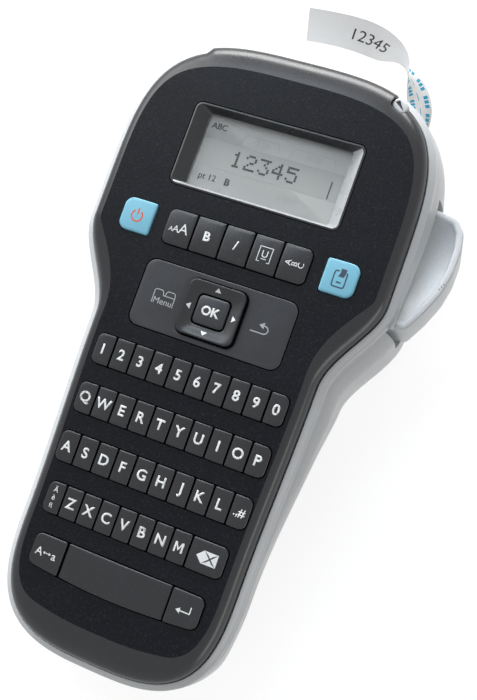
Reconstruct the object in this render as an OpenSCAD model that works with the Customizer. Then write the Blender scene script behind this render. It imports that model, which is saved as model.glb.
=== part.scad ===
// Handheld label maker: a keyboard and display on a tilted face, a tape cassette with its
// print mechanism and cutter in the deep head, and six cells in the slim grip.
//
// World frame: z = 0 is the table, +y points to the head, and the origin is the middle of the
// head's flat back. Face frame: z = 0 is level with the key tops, y = 0 is the top edge of the
// digit row and x = 0 is the centre line. The face frame is tilted about x.

/* [Case outline] */
// Half width of the case at the head
head_half = 52.8; // [51:0.2:56]
// Top end of the head, on the face
head_end = 104.5; // [103:0.5:110]
// Where the head's end curve starts, on the face
head_start = 50; // [46:1:54]
// Squareness of the head's end
head_power = 3.4; // [3:0.1:4]
// Half width of the grip below the waist
grip_half = 40.4; // [39.5:0.1:42]
// Half width of the grip where its end curve starts
grip_low_half = 38.8; // [38.4:0.1:40.4]
// Where the grip's end curve starts, on the face
grip_start = -60; // [-64:1:-56]
// Bottom end of the grip, on the face
grip_end = -100.2; // [-104:0.2:-99]
// Squareness of the grip's end
grip_power = 3.1; // [2.8:0.1:3.6]
// Lower end of the waist curve, on the face
waist_low = 5; // [0:1:8]
// Upper end of the waist curve, on the face
waist_high = 36; // [34:1:42]
// How far the sides swell below the rim at the head
head_flare = 3.2; // [1:0.1:4]
// How far the sides swell below the rim at the grip's end
grip_flare = 0.6; // [0:0.1:1.5]

/* [Case] */
// Tilt of the face
face_tilt = 6; // [5:0.25:7]
// Height of the key tops above the table at the digit row
face_height = 44; // [43.5:0.25:47]
// Wall thickness of the rear case
wall = 2; // [1.6:0.1:2.4]
// Width of the silver rim round the front cover
rim_w = 2.2; // [1.8:0.1:2.6]
// Half width of the tongue where the front cover reaches the top edge
tongue_half = 33; // [28:0.5:36]
// Height of the grip's back above the table
grip_lift = 11; // [9:0.5:12]
// Lower end of the head's flat back
back_flat_low = -44; // [-46:0.5:-42]
// Length of the slope from the head's back to the grip's back
back_slope = 24; // [18:1:30]
// Upper end of the slope down to the heel
heel_start = -128; // [-131:1:-126]
// Length of the slope down to the heel
heel_slope = 12; // [9:1:14]

/* [Front cover] */
// Depth of the cover's flat face below the key tops
cover_drop = 1; // [0.6:0.1:1.4]
// Thickness of the cover
cover_t = 2.2; // [1.8:0.1:2.4]
// Width of the cover's bevel along the sides
bevel_side = 2.6; // [2.2:0.1:3.2]
// Width of the cover's bevel at the head
bevel_head = 7; // [5:0.5:9]
// Width of the cover's bevel at the heel
bevel_heel = 10; // [7:0.5:11]
// Depth of the parting line below the key tops
parting = 9; // [8.5:0.1:10]

/* [Keys] */
// Pitch of the keys along a row
key_pitch = 6.6; // [6.4:0.05:6.7]
// Pitch of the rows
row_pitch = 16.35; // [15.5:0.05:16.5]
// Length of a letter key
key_l = 9.9; // [9:0.1:10.5]
// Gap between neighbouring keys
key_gap = 0.45; // [0.3:0.05:0.7]
// Gap between a key and its opening
slot_gap = 0.35; // [0.3:0.05:0.5]
// Travel of a key
key_travel = 1; // [0.6:0.1:1.1]
// Pitch of the format keys
format_pitch = 9.87; // [9.6:0.05:9.9]
// Length of a format key
format_l = 11.6; // [11:0.1:12]
// Middle of the format row, on the face
format_y = 39.15; // [38.5:0.05:40]
// Side length of the two large blue keys
big_key = 10.9; // [10:0.1:11.4]
// Middle of the two large keys, from the centre line
big_key_x = 34.6; // [34:0.1:35.5]
// Middle of the navigation tile, on the face
nav_y = 16.7; // [16.3:0.1:17]
// Width of the navigation tile
nav_w = 51.8; // [48:0.2:54]
// Length of the navigation tile
nav_l = 22.2; // [21.6:0.2:22.6]
// Width of the navigation ring
ring_w = 19.2; // [18:0.1:20]
// Length of the navigation ring
ring_l = 17.8; // [17:0.1:18.6]
// Height of the navigation ring over the key tops
ring_rise = 1.3; // [0.8:0.1:1.6]
// Width of the middle key
ok_w = 10.4; // [9.6:0.1:10.8]
// Length of the middle key
ok_l = 9.3; // [8.6:0.1:9.8]

/* [Display] */
// Width of the window in the front cover
window_w = 58; // [56:0.2:60]
// Length of the window in the front cover
window_l = 28.4; // [27:0.2:29.4]
// Middle of the window, on the face
window_y = 66.9; // [66:0.1:68]
// Width of the visible glass
glass_w = 49.4; // [46:0.2:51]
// Length of the visible glass
glass_l = 24.6; // [23:0.2:25.4]
// Depth of the glass below the key tops
glass_drop = 4.5; // [4.2:0.1:4.8]

/* [Cassette] */
// Width of the tape cassette
cassette_w = 52; // [50:0.5:53]
// Length of the tape cassette
cassette_l = 69; // [68:0.5:70]
// Thickness of the tape cassette
cassette_t = 19; // [18:0.1:19.2]
// Right side of the cassette, from the centre line
cassette_right = 36; // [35.6:0.1:36.2]
// Lower end of the cassette
cassette_low = -33; // [-33.2:0.1:-32]
// Wall of the cassette shell
cassette_wall = 1.2; // [1:0.1:1.5]
// Width of the label tape
tape_w = 12; // [9:1:12]
// Radius of the full tape roll
roll_r = 18.4; // [14:0.2:18.4]
// Line that the tape follows past the print head, from the centre line
tape_x = 37.4; // [37.3:0.05:37.6]

/* [Mechanism] */
// Gear module
gear_m = 0.7; // [0.68:0.01:0.72]
// Face width of the gears
gear_t = 2; // [1.6:0.1:2.2]
// Radius of the motor
motor_r = 10; // [9:0.5:10.5]
// Radius of the platen roller
platen_r = 4.6; // [4.2:0.1:4.8]
// Radius of the gear studs
stud_r = 1.5; // [1.2:0.1:1.6]
// Running clearance of shafts in their holes
run_gap = 0.06; // [0.03:0.01:0.09]
// Thickness of the chassis plate
chassis_t = 1.5; // [1.2:0.1:1.8]

/* [Cutter] */
// Turn of the lever from rest to the end of a cut
lever_travel = 6; // [4:0.5:6]
// Tip of the lever, from the centre line
lever_tip = 65.4; // [62:0.2:68]
// Lower face of the lever
lever_z = 20.5; // [20:0.1:21.5]
// Height of the lever
lever_h = 15.5; // [14:0.1:15.6]
// Radius of the lever's pivot pin
lever_pin_r = 1.5; // [1.2:0.1:1.8]

/* [Power] */
// Radius of a cell
cell_r = 5.15; // [5:0.05:5.15]
// Length of a cell's can
cell_l = 43.6; // [43:0.1:44]
// Pitch of the cells
cell_pitch = 10.45; // [10.4:0.05:10.5]
// Bore radius of the mains adapter inlet
jack_r = 2.9; // [2.6:0.1:3.2]

/* [Hidden] */
$fn = 48;

charcoal = "#2b2d33";
key_grey = "#34363d";
sky_blue = "#80cdeb";
silver = "#cdd2d4";
steel = "#b9bcc0";
brassy = "#c9a552";

eps = 0.01;
seam = 0.35;            // gap round doors and covers
lean = 0.3;             // gap between pieces that move past each other
face_shift = -54;       // where the face frame's origin stands, along the world y axis

// ---- frames -------------------------------------------------------------------------------

function face_to_world(p) = [p[0],
    face_shift + p[1] * cos(face_tilt) - p[2] * sin(face_tilt),
    face_height + p[1] * sin(face_tilt) + p[2] * cos(face_tilt)];

module on_face() {
    translate([0, face_shift, face_height]) rotate([face_tilt, 0, 0]) children();
}

// ---- case outline on the face -------------------------------------------------------------

function smooth(t) = let (u = min(1, max(0, t))) u * u * (3 - 2 * u);
function blend(a, b, t) = a + (b - a) * t;
function unit(v) = v / norm(v);
function curve(a, b, power, angle) =
    [a * pow(sin(angle), 2 / power), b * pow(cos(angle), 2 / power)];

function side_half(y) = grip_low_half
    + (grip_half - grip_low_half) * smooth((y - grip_start) / (waist_low - grip_start))
    + (head_half - grip_half) * smooth((y - waist_low) / (waist_high - waist_low));

end_steps = 14;
head_steps = 12;
tongue_steps = 5;
// angle on the head's end curve where the tongue's side stands
tongue_angle = asin(pow(tongue_half / head_half, head_power / 2));
side_ys = concat([for (i = [1:3]) blend(grip_start, waist_low, i / 4)],
    [for (i = [0:12]) blend(waist_low, waist_high, i / 12)],
    [blend(waist_high, head_start, 0.5)]);
right_half = concat(
    [for (i = [0:end_steps]) let (p = curve(grip_low_half, grip_start - grip_end, grip_power,
        90 * i / end_steps)) [p[0], grip_start - p[1]]],
    [for (y = side_ys) [side_half(y), y]],
    [for (i = [0:head_steps]) let (p = curve(head_half, head_end - head_start, head_power,
        blend(90, tongue_angle + 0.6, i / head_steps))) [p[0], head_start + p[1]]],
    [for (i = [0:tongue_steps]) let (p = curve(head_half, head_end - head_start, head_power,
        (tongue_angle - 0.6) * (1 - i / tongue_steps))) [p[0], head_start + p[1]]]);
half_count = len(right_half);
outline = concat(right_half,
    [for (i = [half_count - 2:-1:1]) [-right_half[i][0], right_half[i][1]]]);
count = len(outline);
normals = [for (i = [0:count - 1])
    let (d = outline[(i + 1) % count] - outline[(i + count - 1) % count]) unit([d[1], -d[0]])];

// The outline moved outward by a distance that a function of the point's index may vary
function moved(i, out) = outline[i] + normals[i] * out;
function inset_outline(inset) = [for (i = [0:count - 1]) moved(i, -inset)];
function on_tongue(i) =
    abs(outline[i][0]) < tongue_half && outline[i][1] > head_start ? 1 : 0;

// ---- shells built from rings --------------------------------------------------------------

// A closed solid from rings of equal count, capped at both ends by strips that join each
// point to its mirror image.
module ring_solid(rings) {
    last = len(rings) - 1;
    points = [for (ring = rings) each ring];
    sides = [for (k = [0:last - 1]) for (i = [0:count - 1]) let (j = (i + 1) % count,
        a = k * count, b = (k + 1) * count) each [[a + i, b + i, b + j], [a + i, b + j, a + j]]];
    polyhedron(points, concat(sides, cap(0, false), cap(last * count, true)), convexity = 8);
}

function cap(base, flip) = [for (i = [0:half_count - 2]) let (a = base + i, b = base + i + 1,
    c = base + (count - i - 1) % count, d = base + (count - i) % count)
    each [for (f = i == 0 ? [[a, b, c]] : i == half_count - 2 ? [[a, b, d]]
        : [[a, b, c], [a, c, d]]) flip ? [f[2], f[1], f[0]] : f]];

// ---- rear case surface --------------------------------------------------------------------

// Height of the back above the table
function back_z(y) = grip_lift * (smooth((back_flat_low - y) / back_slope)
    - smooth((heel_start - y) / heel_slope));

function head_share(y) = smooth((y - grip_start) / (waist_low - grip_start));

// One ring of the case's skin: `share` is how far down it lies from the parting line to the
// back, and `head` and `grip` are its distances outside the outline at each end.
function skin_ring(share, head, grip, lift = 0) = [for (i = [0:count - 1])
    let (out = blend(grip, head, head_share(outline[i][1])), q = moved(i, out),
        p = face_to_world([q[0], q[1], -parting]))
    [p[0], p[1], blend(p[2], back_z(p[1]), share) + lift]];

// One ring in the face frame, at a depth below the key tops
function rim_ring(inset, tongue_inset, depth) = [for (i = [0:count - 1])
    let (q = moved(i, -blend(inset, tongue_inset, on_tongue(i))))
    face_to_world([q[0], q[1], -depth])];

rim_seat = rim_w - 0.15;        // inner side of the silver rim
tongue_rim = 0.6;               // what is left of the rim under the tongue
rim_top = parting - 1.2;        // depth of the rim's inner edge
module case_shell() {
    ring_solid([
        skin_ring(1, -3.5, -7),
        skin_ring(0.965, 0, -4.5),
        skin_ring(0.86, 0.7 * head_flare, -2),
        skin_ring(0.6, head_flare, grip_flare - 0.4),
        skin_ring(0.32, head_flare, grip_flare),
        skin_ring(0.12, 0.55 * head_flare, grip_flare),
        rim_ring(0, 0, parting + 0.15),
        rim_ring(rim_seat, tongue_rim, rim_top),
        rim_ring(rim_seat, tongue_rim, parting),
        rim_ring(rim_w + wall, rim_w + wall, parting),
        rim_ring(rim_w + wall, rim_w + wall, parting + 1),
        skin_ring(0.32, head_flare - wall, grip_flare - wall),
        skin_ring(0.6, head_flare - wall, grip_flare - wall),
        skin_ring(0.9, -wall, -3.4 - wall, 0.8),
        skin_ring(1, -3.5 - wall, -7 - wall, wall)]);
}

// ---- front cover --------------------------------------------------------------------------

// The bevel's width at a point of the outline: wide at both ends and narrow along the sides
function bevel(i) = blend(bevel_side, normals[i][1] > 0 ? bevel_head : bevel_heel,
    pow(abs(normals[i][1]), 1.6));

// One ring of the cover: `inset` inside the rim, plus a share of the bevel's width
function cover_ring(inset, depth, reach = 0, share = 0) = [for (i = [0:count - 1])
    let (q = moved(i, -(rim_w + inset + share * bevel(i)) + reach * on_tongue(i)))
    [q[0], q[1], -depth]];

tongue_reach = rim_w - tongue_rim;
module cover_shell() {
    ring_solid([
        cover_ring(0.8, cover_drop + cover_t, 0, 1),
        cover_ring(2.2, parting - 2.8),
        cover_ring(1.9, parting - 0.05),
        cover_ring(0, parting - 0.05, tongue_reach - 0.2),
        cover_ring(0, parting - 1.6, tongue_reach),
        cover_ring(0, parting - 3.4, tongue_reach, 0.07),
        cover_ring(0, parting - 5.3, tongue_reach * 0.8, 0.26),
        cover_ring(0, cover_drop + 1.1, tongue_reach * 0.5, 0.6),
        cover_ring(0, cover_drop, 0, 1)]);
}

// Rounded rectangle with true arcs
module rounded(w, l, r) {
    square([w - 2 * r, l], center = true);
    square([w, l - 2 * r], center = true);
    for (x = [-1, 1], y = [-1, 1]) translate([x * (w / 2 - r), y * (l / 2 - r)]) circle(r);
}

// ---- key layout ---------------------------------------------------------------------------

row_w = 10 * key_pitch;             // the three full rows
low_row_w = 62;                     // the row with the accent and delete keys
end_row_w = 58.4;                   // the row with the space bar
accent_w = 6.1;
delete_w = 12.3;
low_pitch = (low_row_w - accent_w - delete_w) / 7;
corner_key_w = 11.1;
row_r = 2.2;                        // corners of a row's opening
key_depth = cover_drop + cover_t + 0.2;     // from the key top to its flange
flange_t = 0.8;
flange_w = 0.7;
key_crown = 16;                     // radius of the letter keys' rounded tops
function row_y(n) = -key_l / 2 - 0.15 - n * row_pitch;
format_w = 5 * format_pitch;
ring_gap = 0.4;
mat_top = key_depth + flange_t + key_travel + 0.25;
mat_t = 1;
board_top = mat_top + mat_t + 1.3;
board_t = 1.6;

module opening(w, l, x, y, r) {
    translate([x, y, -parting]) linear_extrude(parting + 1)
        rounded(w + 2 * slot_gap, l + 2 * slot_gap, r + slot_gap);
}

// Plan of the row with the space bar, whose lower edge bulges towards the heel
end_row_bulge = 1.8;
end_row_r = (pow(end_row_w / 2, 2) + pow(end_row_bulge, 2)) / (2 * end_row_bulge);
module end_row_plan(grow) {
    intersection() {
        translate([0, row_y(4) - end_row_bulge / 2]) rounded(end_row_w - key_gap + 2 * grow,
            key_l + end_row_bulge + 2 * grow, row_r + grow);
        translate([0, row_y(4) - key_l / 2 - end_row_bulge + end_row_r])
            circle(end_row_r + grow, $fn = 240);
    }
}

// One key of that row
module end_row_key(x0, x1) {
    mid = (x0 + x1) / 2;
    w = x1 - x0 - key_gap;
    intersection() {
        translate([0, 0, -key_depth]) linear_extrude(key_depth) intersection() {
            translate([mid, row_y(4) - 1]) rounded(w, key_l + 4, 0.5);
            end_row_plan(0);
        }
        translate([mid, row_y(4), -220]) sphere(r = 220, $fn = 180);
    }
    translate([mid - w / 2 + 0.9, row_y(4) - key_l / 2 - flange_w, -key_depth - flange_t])
        cube([w - 1.8, key_l + 2 * flange_w, flange_t]);
}

// One key of a row, between x0 and x1, with the row's own rounded outline at its ends
module row_key(x0, x1, y, l, all_w) {
    w = x1 - x0 - key_gap;
    mid = (x0 + x1) / 2;
    intersection() {
        translate([0, y, -key_depth]) linear_extrude(key_depth) intersection() {
            translate([mid, 0]) rounded(w, l, 0.5);
            rounded(all_w - key_gap, l, row_r);
        }
        translate([mid, y, -key_crown]) rotate([90, 0, 0])
            cylinder(r = key_crown, h = 2 * l, center = true, $fn = 96);
    }
    translate([mid - w / 2, y - l / 2 - flange_w, -key_depth - flange_t])
        cube([w, l + 2 * flange_w, flange_t]);
}

// A wider key with a flatter top
module flat_key(x0, x1, y, l, all_w, r = 0.5, crown = 60) {
    w = x1 - x0 - key_gap;
    mid = (x0 + x1) / 2;
    intersection() {
        translate([0, y, -key_depth]) linear_extrude(key_depth) intersection() {
            translate([mid, 0]) rounded(w, l, r);
            rounded(all_w - key_gap, l, row_r);
        }
        translate([mid, y, -crown]) sphere(r = crown, $fn = 128);
    }
    translate([mid - w / 2 + 0.4, y - l / 2 - flange_w, -key_depth - flange_t])
        cube([w - 0.8, l + 2 * flange_w, flange_t]);
}

module full_row_key(n, i) {
    row_key((i - 5) * key_pitch, (i - 4) * key_pitch, row_y(n), key_l, row_w);
}

module format_key(i) {
    color(key_grey) on_face()
        flat_key((i - 2.5) * format_pitch, (i - 1.5) * format_pitch, format_y, format_l, format_w);
}

// Plan of a square key beside them, rounder on its outer side
big_outer_r = 2.8;
big_inner_r = 0.8;
module big_key_plan(side, grow) {
    l = big_key + 2 * grow;
    translate([side * big_key_x, format_y]) {
        rounded(l, l, big_outer_r + grow);
        translate([-side * big_key / 4, 0]) rounded(l - big_key / 2, l, big_inner_r + grow);
    }
}

module big_square_key(side) {
    color(sky_blue) on_face() {
        intersection() {
            translate([0, 0, -key_depth]) linear_extrude(key_depth) big_key_plan(side, 0);
            translate([side * big_key_x, format_y, -70]) sphere(r = 70, $fn = 128);
        }
        translate([0, 0, -key_depth - flange_t]) linear_extrude(flange_t)
            big_key_plan(side, flange_w);
    }
}

// ---- screws and their bosses --------------------------------------------------------------

// Where the case screws stand, on the face, and how deep the tops of their posts lie
screw_spots = [[-44.6, 76, 4.6], [-33.4, 3.1, 4.4], [33.4, 3.1, 4.4], [30, -29.62, 2.6],
    [-30, -29.62, 2.6]];
boss_r = 2.3;
screw_r = 0.9;
screw_head_r = 1.9;
boss_split = parting + 3;           // depth where the cover's posts meet the case's bosses
board_spots = [[-24, 30.3], [24, 30.3], [-24, -81], [24, -81]];     // on the face
post_r = 1.9;
board_screw_r = 0.8;
// Depth of the back below a point on the face
function back_depth(y) = (face_height + y * sin(face_tilt)
    - back_z(face_shift + y * cos(face_tilt) + 4)) / cos(face_tilt);

// ---- head layout, in the world frame ------------------------------------------------------

door_t = wall;
door_half = 40;
door_low_half = 34.2;               // at the hinge
door_wide_y = -20;                  // where the door reaches its full width
door_high = 40.5;
door_low = back_flat_low + 3;       // the hinge line
hinge_r = door_t / 2;
hinge_half = 29.6;                  // half length of the hinge barrel
hinge_pin_r = 0.6;
hinge_pin_l = 2.2;
cassette_z = door_t + 0.8;
cassette_left = cassette_right - cassette_w;
cassette_high = cassette_low + cassette_l;
tape_z = cassette_z + (cassette_t - tape_w) / 2;
chassis_z = cassette_z + cassette_t + 0.8;
gear_z1 = chassis_z + chassis_t + 0.9;          // first layer of gears
gear_z2 = gear_z1 + gear_t + 0.4;               // second layer
print_y = 27;                                   // where the platen presses on the print head
notch_low = 19.5;                               // lower edge of the cassette's notch
notch_x = tape_x - 4.2;                         // how far the notch reaches in
blade_y = 38.5;
tape_t = 0.2;
platen_x = tape_x + tape_t / 2 + 0.2 + platen_r;
head_gap = 0.2;
roll_at = [4.2, -12.4];
supply_at = [-5, 19];
takeup_at = [19, 24];
motor_at = [-38, -8];

// ---- gear train ---------------------------------------------------------------------------

pinion_teeth = 12;
wheel_teeth = 44;
small_teeth = 14;
drive_teeth = 54;
takeup_teeth = 17;
idler_teeth = 24;
platen_teeth = 18;
mesh_slack = 0.06;
function mesh_gap(a, b) = (a + b) * gear_m / 2 + mesh_slack;
function polar(r, a) = [r * cos(a), r * sin(a)];
function heading(a, b) = atan2(b[1] - a[1], b[0] - a[0]);
// The point at distances ra from a and rb from b, on the right of the line from a to b
function corner(a, ra, b, rb) = let (d = norm(b - a), u = (b - a) / d,
    s = (ra * ra - rb * rb + d * d) / (2 * d), h = sqrt(max(0.01, ra * ra - s * s)))
    a + u * s + [u[1], -u[0]] * h;
// Phase of a gear of z2 teeth that meshes with one of z1 teeth at phase p1, along a heading
function mesh_phase(along, z1, p1, z2) = along + 180 + 180 / z2 + (along - p1) * z1 / z2;

platen_at = [platen_x, print_y];
reach_1 = mesh_gap(pinion_teeth, wheel_teeth);
drive_at = corner(motor_at + polar(reach_1, 30), mesh_gap(small_teeth, drive_teeth),
    takeup_at, mesh_gap(drive_teeth, takeup_teeth));
reduction_at = motor_at + polar(reach_1, 30);
idler_at = corner(takeup_at, mesh_gap(takeup_teeth, idler_teeth),
    platen_at, mesh_gap(idler_teeth, platen_teeth));
pinion_phase = 0;
wheel_phase = mesh_phase(heading(motor_at, reduction_at), pinion_teeth, pinion_phase,
    wheel_teeth);
small_phase = wheel_phase;
drive_phase = mesh_phase(heading(reduction_at, drive_at), small_teeth, small_phase,
    drive_teeth);
takeup_phase = mesh_phase(heading(drive_at, takeup_at), drive_teeth, drive_phase,
    takeup_teeth);
idler_phase = mesh_phase(heading(takeup_at, idler_at), takeup_teeth, takeup_phase,
    idler_teeth);
platen_phase = mesh_phase(heading(idler_at, platen_at), idler_teeth, idler_phase,
    platen_teeth);

// Tapered teeth: half widths at root and tip as shares of a quarter pitch
tooth_root = 1.2;
tooth_tip = 0.42;
module gear(teeth, phase, z, t = gear_t) {
    tip = gear_m * (teeth / 2 + 0.9);
    root = gear_m * (teeth / 2 - 1.2);
    quarter = 90 / teeth;
    translate([0, 0, z]) linear_extrude(t) polygon([for (k = [0:teeth - 1])
        let (a = phase + 360 * k / teeth) each [polar(root, a - tooth_root * quarter),
            polar(tip, a - tooth_tip * quarter), polar(tip, a + tooth_tip * quarter),
            polar(root, a + tooth_root * quarter)]]);
}

// ---- cutter -------------------------------------------------------------------------------

pivot_at = [50.2, -19.5];
slot_low = pivot_at[1] - 4.6;
slot_high = 22.6;
push_y = 19;                        // end of the pad that pushes the carrier
pad_z = gear_z2 + gear_t + 1;
pad_t = 2.6;
carrier_x = tape_x + 2.2;
carrier_w = 2.6;
pad_x = carrier_x + carrier_w + 0.4;
blade_t = 0.5;
// The carrier's travel for each radian of the lever
push_arm = push_y - pivot_at[1] + 0.4;

// ---- cells --------------------------------------------------------------------------------

cell_count = 6;
cell_z = grip_lift + wall + cell_r + 0.35;
cell_low = -137;
nub_l = 0.9;
cell_high = cell_low + cell_l + nub_l;
bay_half = cell_count * cell_pitch / 2 + 0.3;
bay_top = cell_z + cell_r + 0.35;
bay_wall = 1.4;
bay_l = cell_l + nub_l + 8;
cover_half = 31.5;
cover_high = -84;
function cell_x(i) = (i - (cell_count - 1) / 2) * cell_pitch;

// ---- housings -----------------------------------------------------------------------------

module front_cover() {
    color(charcoal) {
        on_face() difference() {
            union() {
                cover_shell();
                for (s = board_spots) translate([s[0], s[1], -board_top])
                    cylinder(r = post_r, h = board_top - cover_drop - 1);
                for (s = screw_spots) translate([s[0], s[1], -boss_split])
                    cylinder(r = boss_r, h = boss_split - s[2]);
            }
            for (n = [0:2]) opening(row_w - key_gap, key_l, 0, row_y(n), row_r);
            opening(low_row_w - key_gap, key_l, 0, row_y(3), row_r);
            translate([0, 0, -parting]) linear_extrude(parting + 1) end_row_plan(slot_gap);
            opening(format_w - key_gap, format_l, 0, format_y, row_r);
            for (side = [-1, 1]) translate([0, 0, -parting]) linear_extrude(parting + 1)
                big_key_plan(side, slot_gap);
            opening(nav_w, nav_l, 0, nav_y, 3.4);
            opening(window_w, window_l, 0, window_y, 2.4);
            for (s = board_spots) translate([s[0], s[1], -board_top - 1])
                cylinder(r = board_screw_r, h = 4);
            for (s = screw_spots) translate([s[0], s[1], -boss_split - 1])
                cylinder(r = screw_r, h = 7);
        }
    }
}

module rear_case() {
    color(silver) difference() {
        union() {
            case_shell();
            // bosses for the case screws
            on_face() for (s = screw_spots) translate([s[0], s[1], 1 - back_depth(s[1])])
                cylinder(r = boss_r, h = back_depth(s[1]) - 1.1 - boss_split);
            // lugs that hold the lever's pin
            for (z = [lever_z - 2.1, lever_z + lever_h + 0.5])
                translate([pivot_at[0] - 3.4, pivot_at[1] - 3.4, z]) cube([7, 6.8, 1.6]);
            // roof and end walls of the battery bay
            translate([-bay_half, cell_low - 4, bay_top]) cube([2 * bay_half, bay_l, 0.8]);
            for (y = [cell_low - 4, cell_low - 4 + bay_l - bay_wall])
                translate([-bay_half, y, grip_lift + 1])
                    cube([2 * bay_half, bay_wall, bay_top - grip_lift - 0.6]);
        }
        translate([0, 0, -1]) linear_extrude(wall + 2) door_plan(seam);
        door_hinge(hinge_pin_r + run_gap, hinge_half + hinge_pin_l + 0.3);
        battery_opening();
        battery_hinge(hinge_pin_r + run_gap, cover_half + 1.9);
        // slot for the cutter lever
        translate([pivot_at[0] - 5, slot_low, lever_z - 0.5])
            cube([12, slot_high - slot_low, lever_h + 1]);
        translate([pivot_at[0], pivot_at[1], lever_z - 4])
            cylinder(r = lever_pin_r, h = lever_h + 8);
        // tape exit
        translate([tape_x - 0.8, blade_y + 3, tape_z - 0.8]) cube([1.6, 14, tape_w + 1.6]);
        // mains adapter inlet
        jack_frame() translate([0, 0, -3]) cylinder(r = jack_r + 1.2, h = 14);
        on_face() for (s = screw_spots) translate([s[0], s[1], -back_depth(s[1]) - 2]) {
            cylinder(r = screw_head_r + 0.3, h = 5);
            cylinder(r = screw_r + 0.2, h = 60);
        }
    }
}

// The door's plan: narrower towards the hinge barrel, with round corners at the far end
module door_plan(grow) {
    half = door_half + grow;
    low_half = door_low_half + grow;
    low = door_low - hinge_r - grow;
    high = door_high + grow;
    difference() {
        intersection() {
            translate([0, high - 60]) rounded(2 * half, 120, 16 + grow);
            polygon([[-low_half, low], [low_half, low], [half, door_wide_y], [half, high],
                [-half, high], [-half, door_wide_y]]);
        }
        // corners that stay clear of the hinge's bearings all through the swing
        for (x = [-1, 1])
            translate([x * (hinge_half + grow + 10), door_low + door_corner - grow - 5])
                square([20, 10], center = true);
    }
}

// Distance from the hinge's axis at which the case's edge misses the turning door
door_corner = (seam * seam + hinge_r * hinge_r) / (2 * seam) + 0.1;
module door_hinge(r, half) {
    translate([0, door_low, hinge_r]) rotate([0, 90, 0])
        cylinder(r = r, h = 2 * half, center = true);
}

module tape_door() {
    color(silver) difference() {
        union() {
            difference() {
                linear_extrude(door_t) door_plan(0);
                translate([-60, door_low - 10, -1]) cube([120, 10, door_t + 2]);
            }
            door_hinge(hinge_r, hinge_half);
            door_hinge(hinge_pin_r, hinge_half + hinge_pin_l);
        }
        // finger scoop at the top edge
        translate([0, 37, -10.2]) sphere(r = 11, $fn = 72);
    }
}

// Side profile of the grip's back, as points in y and z
heel_end = face_to_world([0, grip_end, -parting])[1];
cover_low = heel_end + 12;
cover_hinge = cover_high - seam - wall / 2;
function back_profile(low, high, lift) = [for (i = [0:14])
    let (y = blend(low, high, i / 14)) [y, back_z(y) + lift]];
function reversed(list) = [for (i = [len(list) - 1:-1:0]) list[i]];

module side_prism(points, half) {
    rotate([90, 0, 90]) translate([0, 0, -half]) linear_extrude(2 * half) polygon(points);
}

module battery_opening() {
    side_prism(concat(back_profile(cover_low - seam, cover_high, wall + 1.2),
        [[cover_high, -3], [cover_low - seam, -3]]), cover_half + seam);
}

module battery_hinge(r, half) {
    translate([0, cover_hinge, grip_lift + wall / 2]) rotate([0, 90, 0])
        cylinder(r = r, h = 2 * half, center = true);
}

module battery_cover() {
    color(silver) difference() {
        union() {
            side_prism(concat(back_profile(cover_low, cover_hinge, 0),
                reversed(back_profile(cover_low, cover_hinge, wall))), cover_half);
            battery_hinge(wall / 2, cover_half);
            battery_hinge(hinge_pin_r, cover_half + 1.6);
        }
        // thumb notch at the heel and grip lines above it
        translate([0, cover_low - 3, -1]) cylinder(r = 8, h = 8);
        for (k = [0:4]) translate([-12, cover_low + 18 + 3 * k, grip_lift - 0.6])
            cube([24, 1.2, 1]);
    }
}

// ---- display ------------------------------------------------------------------------------

module display_bezel() {
    color("#8f9499") on_face() translate([0, window_y, 0]) difference() {
        translate([0, 0, -glass_drop]) linear_extrude(glass_drop - cover_drop)
            rounded(window_w, window_l, 2.3);
        // sloping sides, one wedge a side
        side_slope(window_l, window_w, glass_l, glass_w);
    }
}

// The tapering space inside the bezel, from the face down to the glass
module side_slope(top_l, top_w, low_l, low_w) {
    edge = 0.5;
    lo = -glass_drop - eps;
    hi = -cover_drop + eps;
    polyhedron([
        [-low_w / 2, -low_l / 2, lo], [low_w / 2, -low_l / 2, lo],
        [low_w / 2, low_l / 2, lo], [-low_w / 2, low_l / 2, lo],
        [-top_w / 2 + edge, -top_l / 2 + edge, hi], [top_w / 2 - edge, -top_l / 2 + edge, hi],
        [top_w / 2 - edge, top_l / 2 - edge, hi], [-top_w / 2 + edge, top_l / 2 - edge, hi]],
        [[0, 1, 2, 3], [4, 7, 6, 5], [0, 4, 5, 1], [1, 5, 6, 2], [2, 6, 7, 3], [3, 7, 4, 0]]);
}

module display_window() {
    color("#cfd6d2", 0.5) on_face() translate([0, window_y, -glass_drop - 0.8])
        linear_extrude(0.8) rounded(window_w - 2, window_l - 1, 1);
}

module lcd_panel() {
    color("#c9cfc9") on_face() translate([0, window_y, -board_top])
        linear_extrude(board_top - glass_drop - 0.8) rounded(window_w - 2, window_l - 1, 0.8);
}

// ---- keys ---------------------------------------------------------------------------------

module power_key() { big_square_key(-1); }
module print_key() { big_square_key(1); }
module size_key() { format_key(0); }
module bold_key() { format_key(1); }
module italic_key() { format_key(2); }
module underline_key() { format_key(3); }
module vertical_key() { format_key(4); }

rock_pin_r = 0.7;
rock_pin_l = 1.2;
rock_depth = cover_drop + cover_t + rock_pin_r + 0.03;
module menu_back_rocker() {
    color(key_grey) on_face() translate([0, nav_y, 0]) {
        translate([0, 0, -key_depth]) linear_extrude(key_depth - cover_drop + 0.3) difference() {
            rounded(nav_w, nav_l, 3.4);
            rounded(ring_w + 2 * ring_gap, ring_l + 2 * ring_gap, 2.9);
        }
        // pins that bear on the underside of the cover
        for (a = [0, 180]) rotate(a) translate([0, nav_l / 2 - 1.5, -rock_depth])
            rotate([-90, 0, 0]) cylinder(r = rock_pin_r, h = 1.5 + rock_pin_l);
        // stubs that rock on the mat
        for (x = [-1, 1]) translate([x * (nav_w / 2 - 8), 0, -key_depth - flange_t])
            cylinder(r = 2.5, h = flange_t + 0.2);
    }
}

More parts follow.
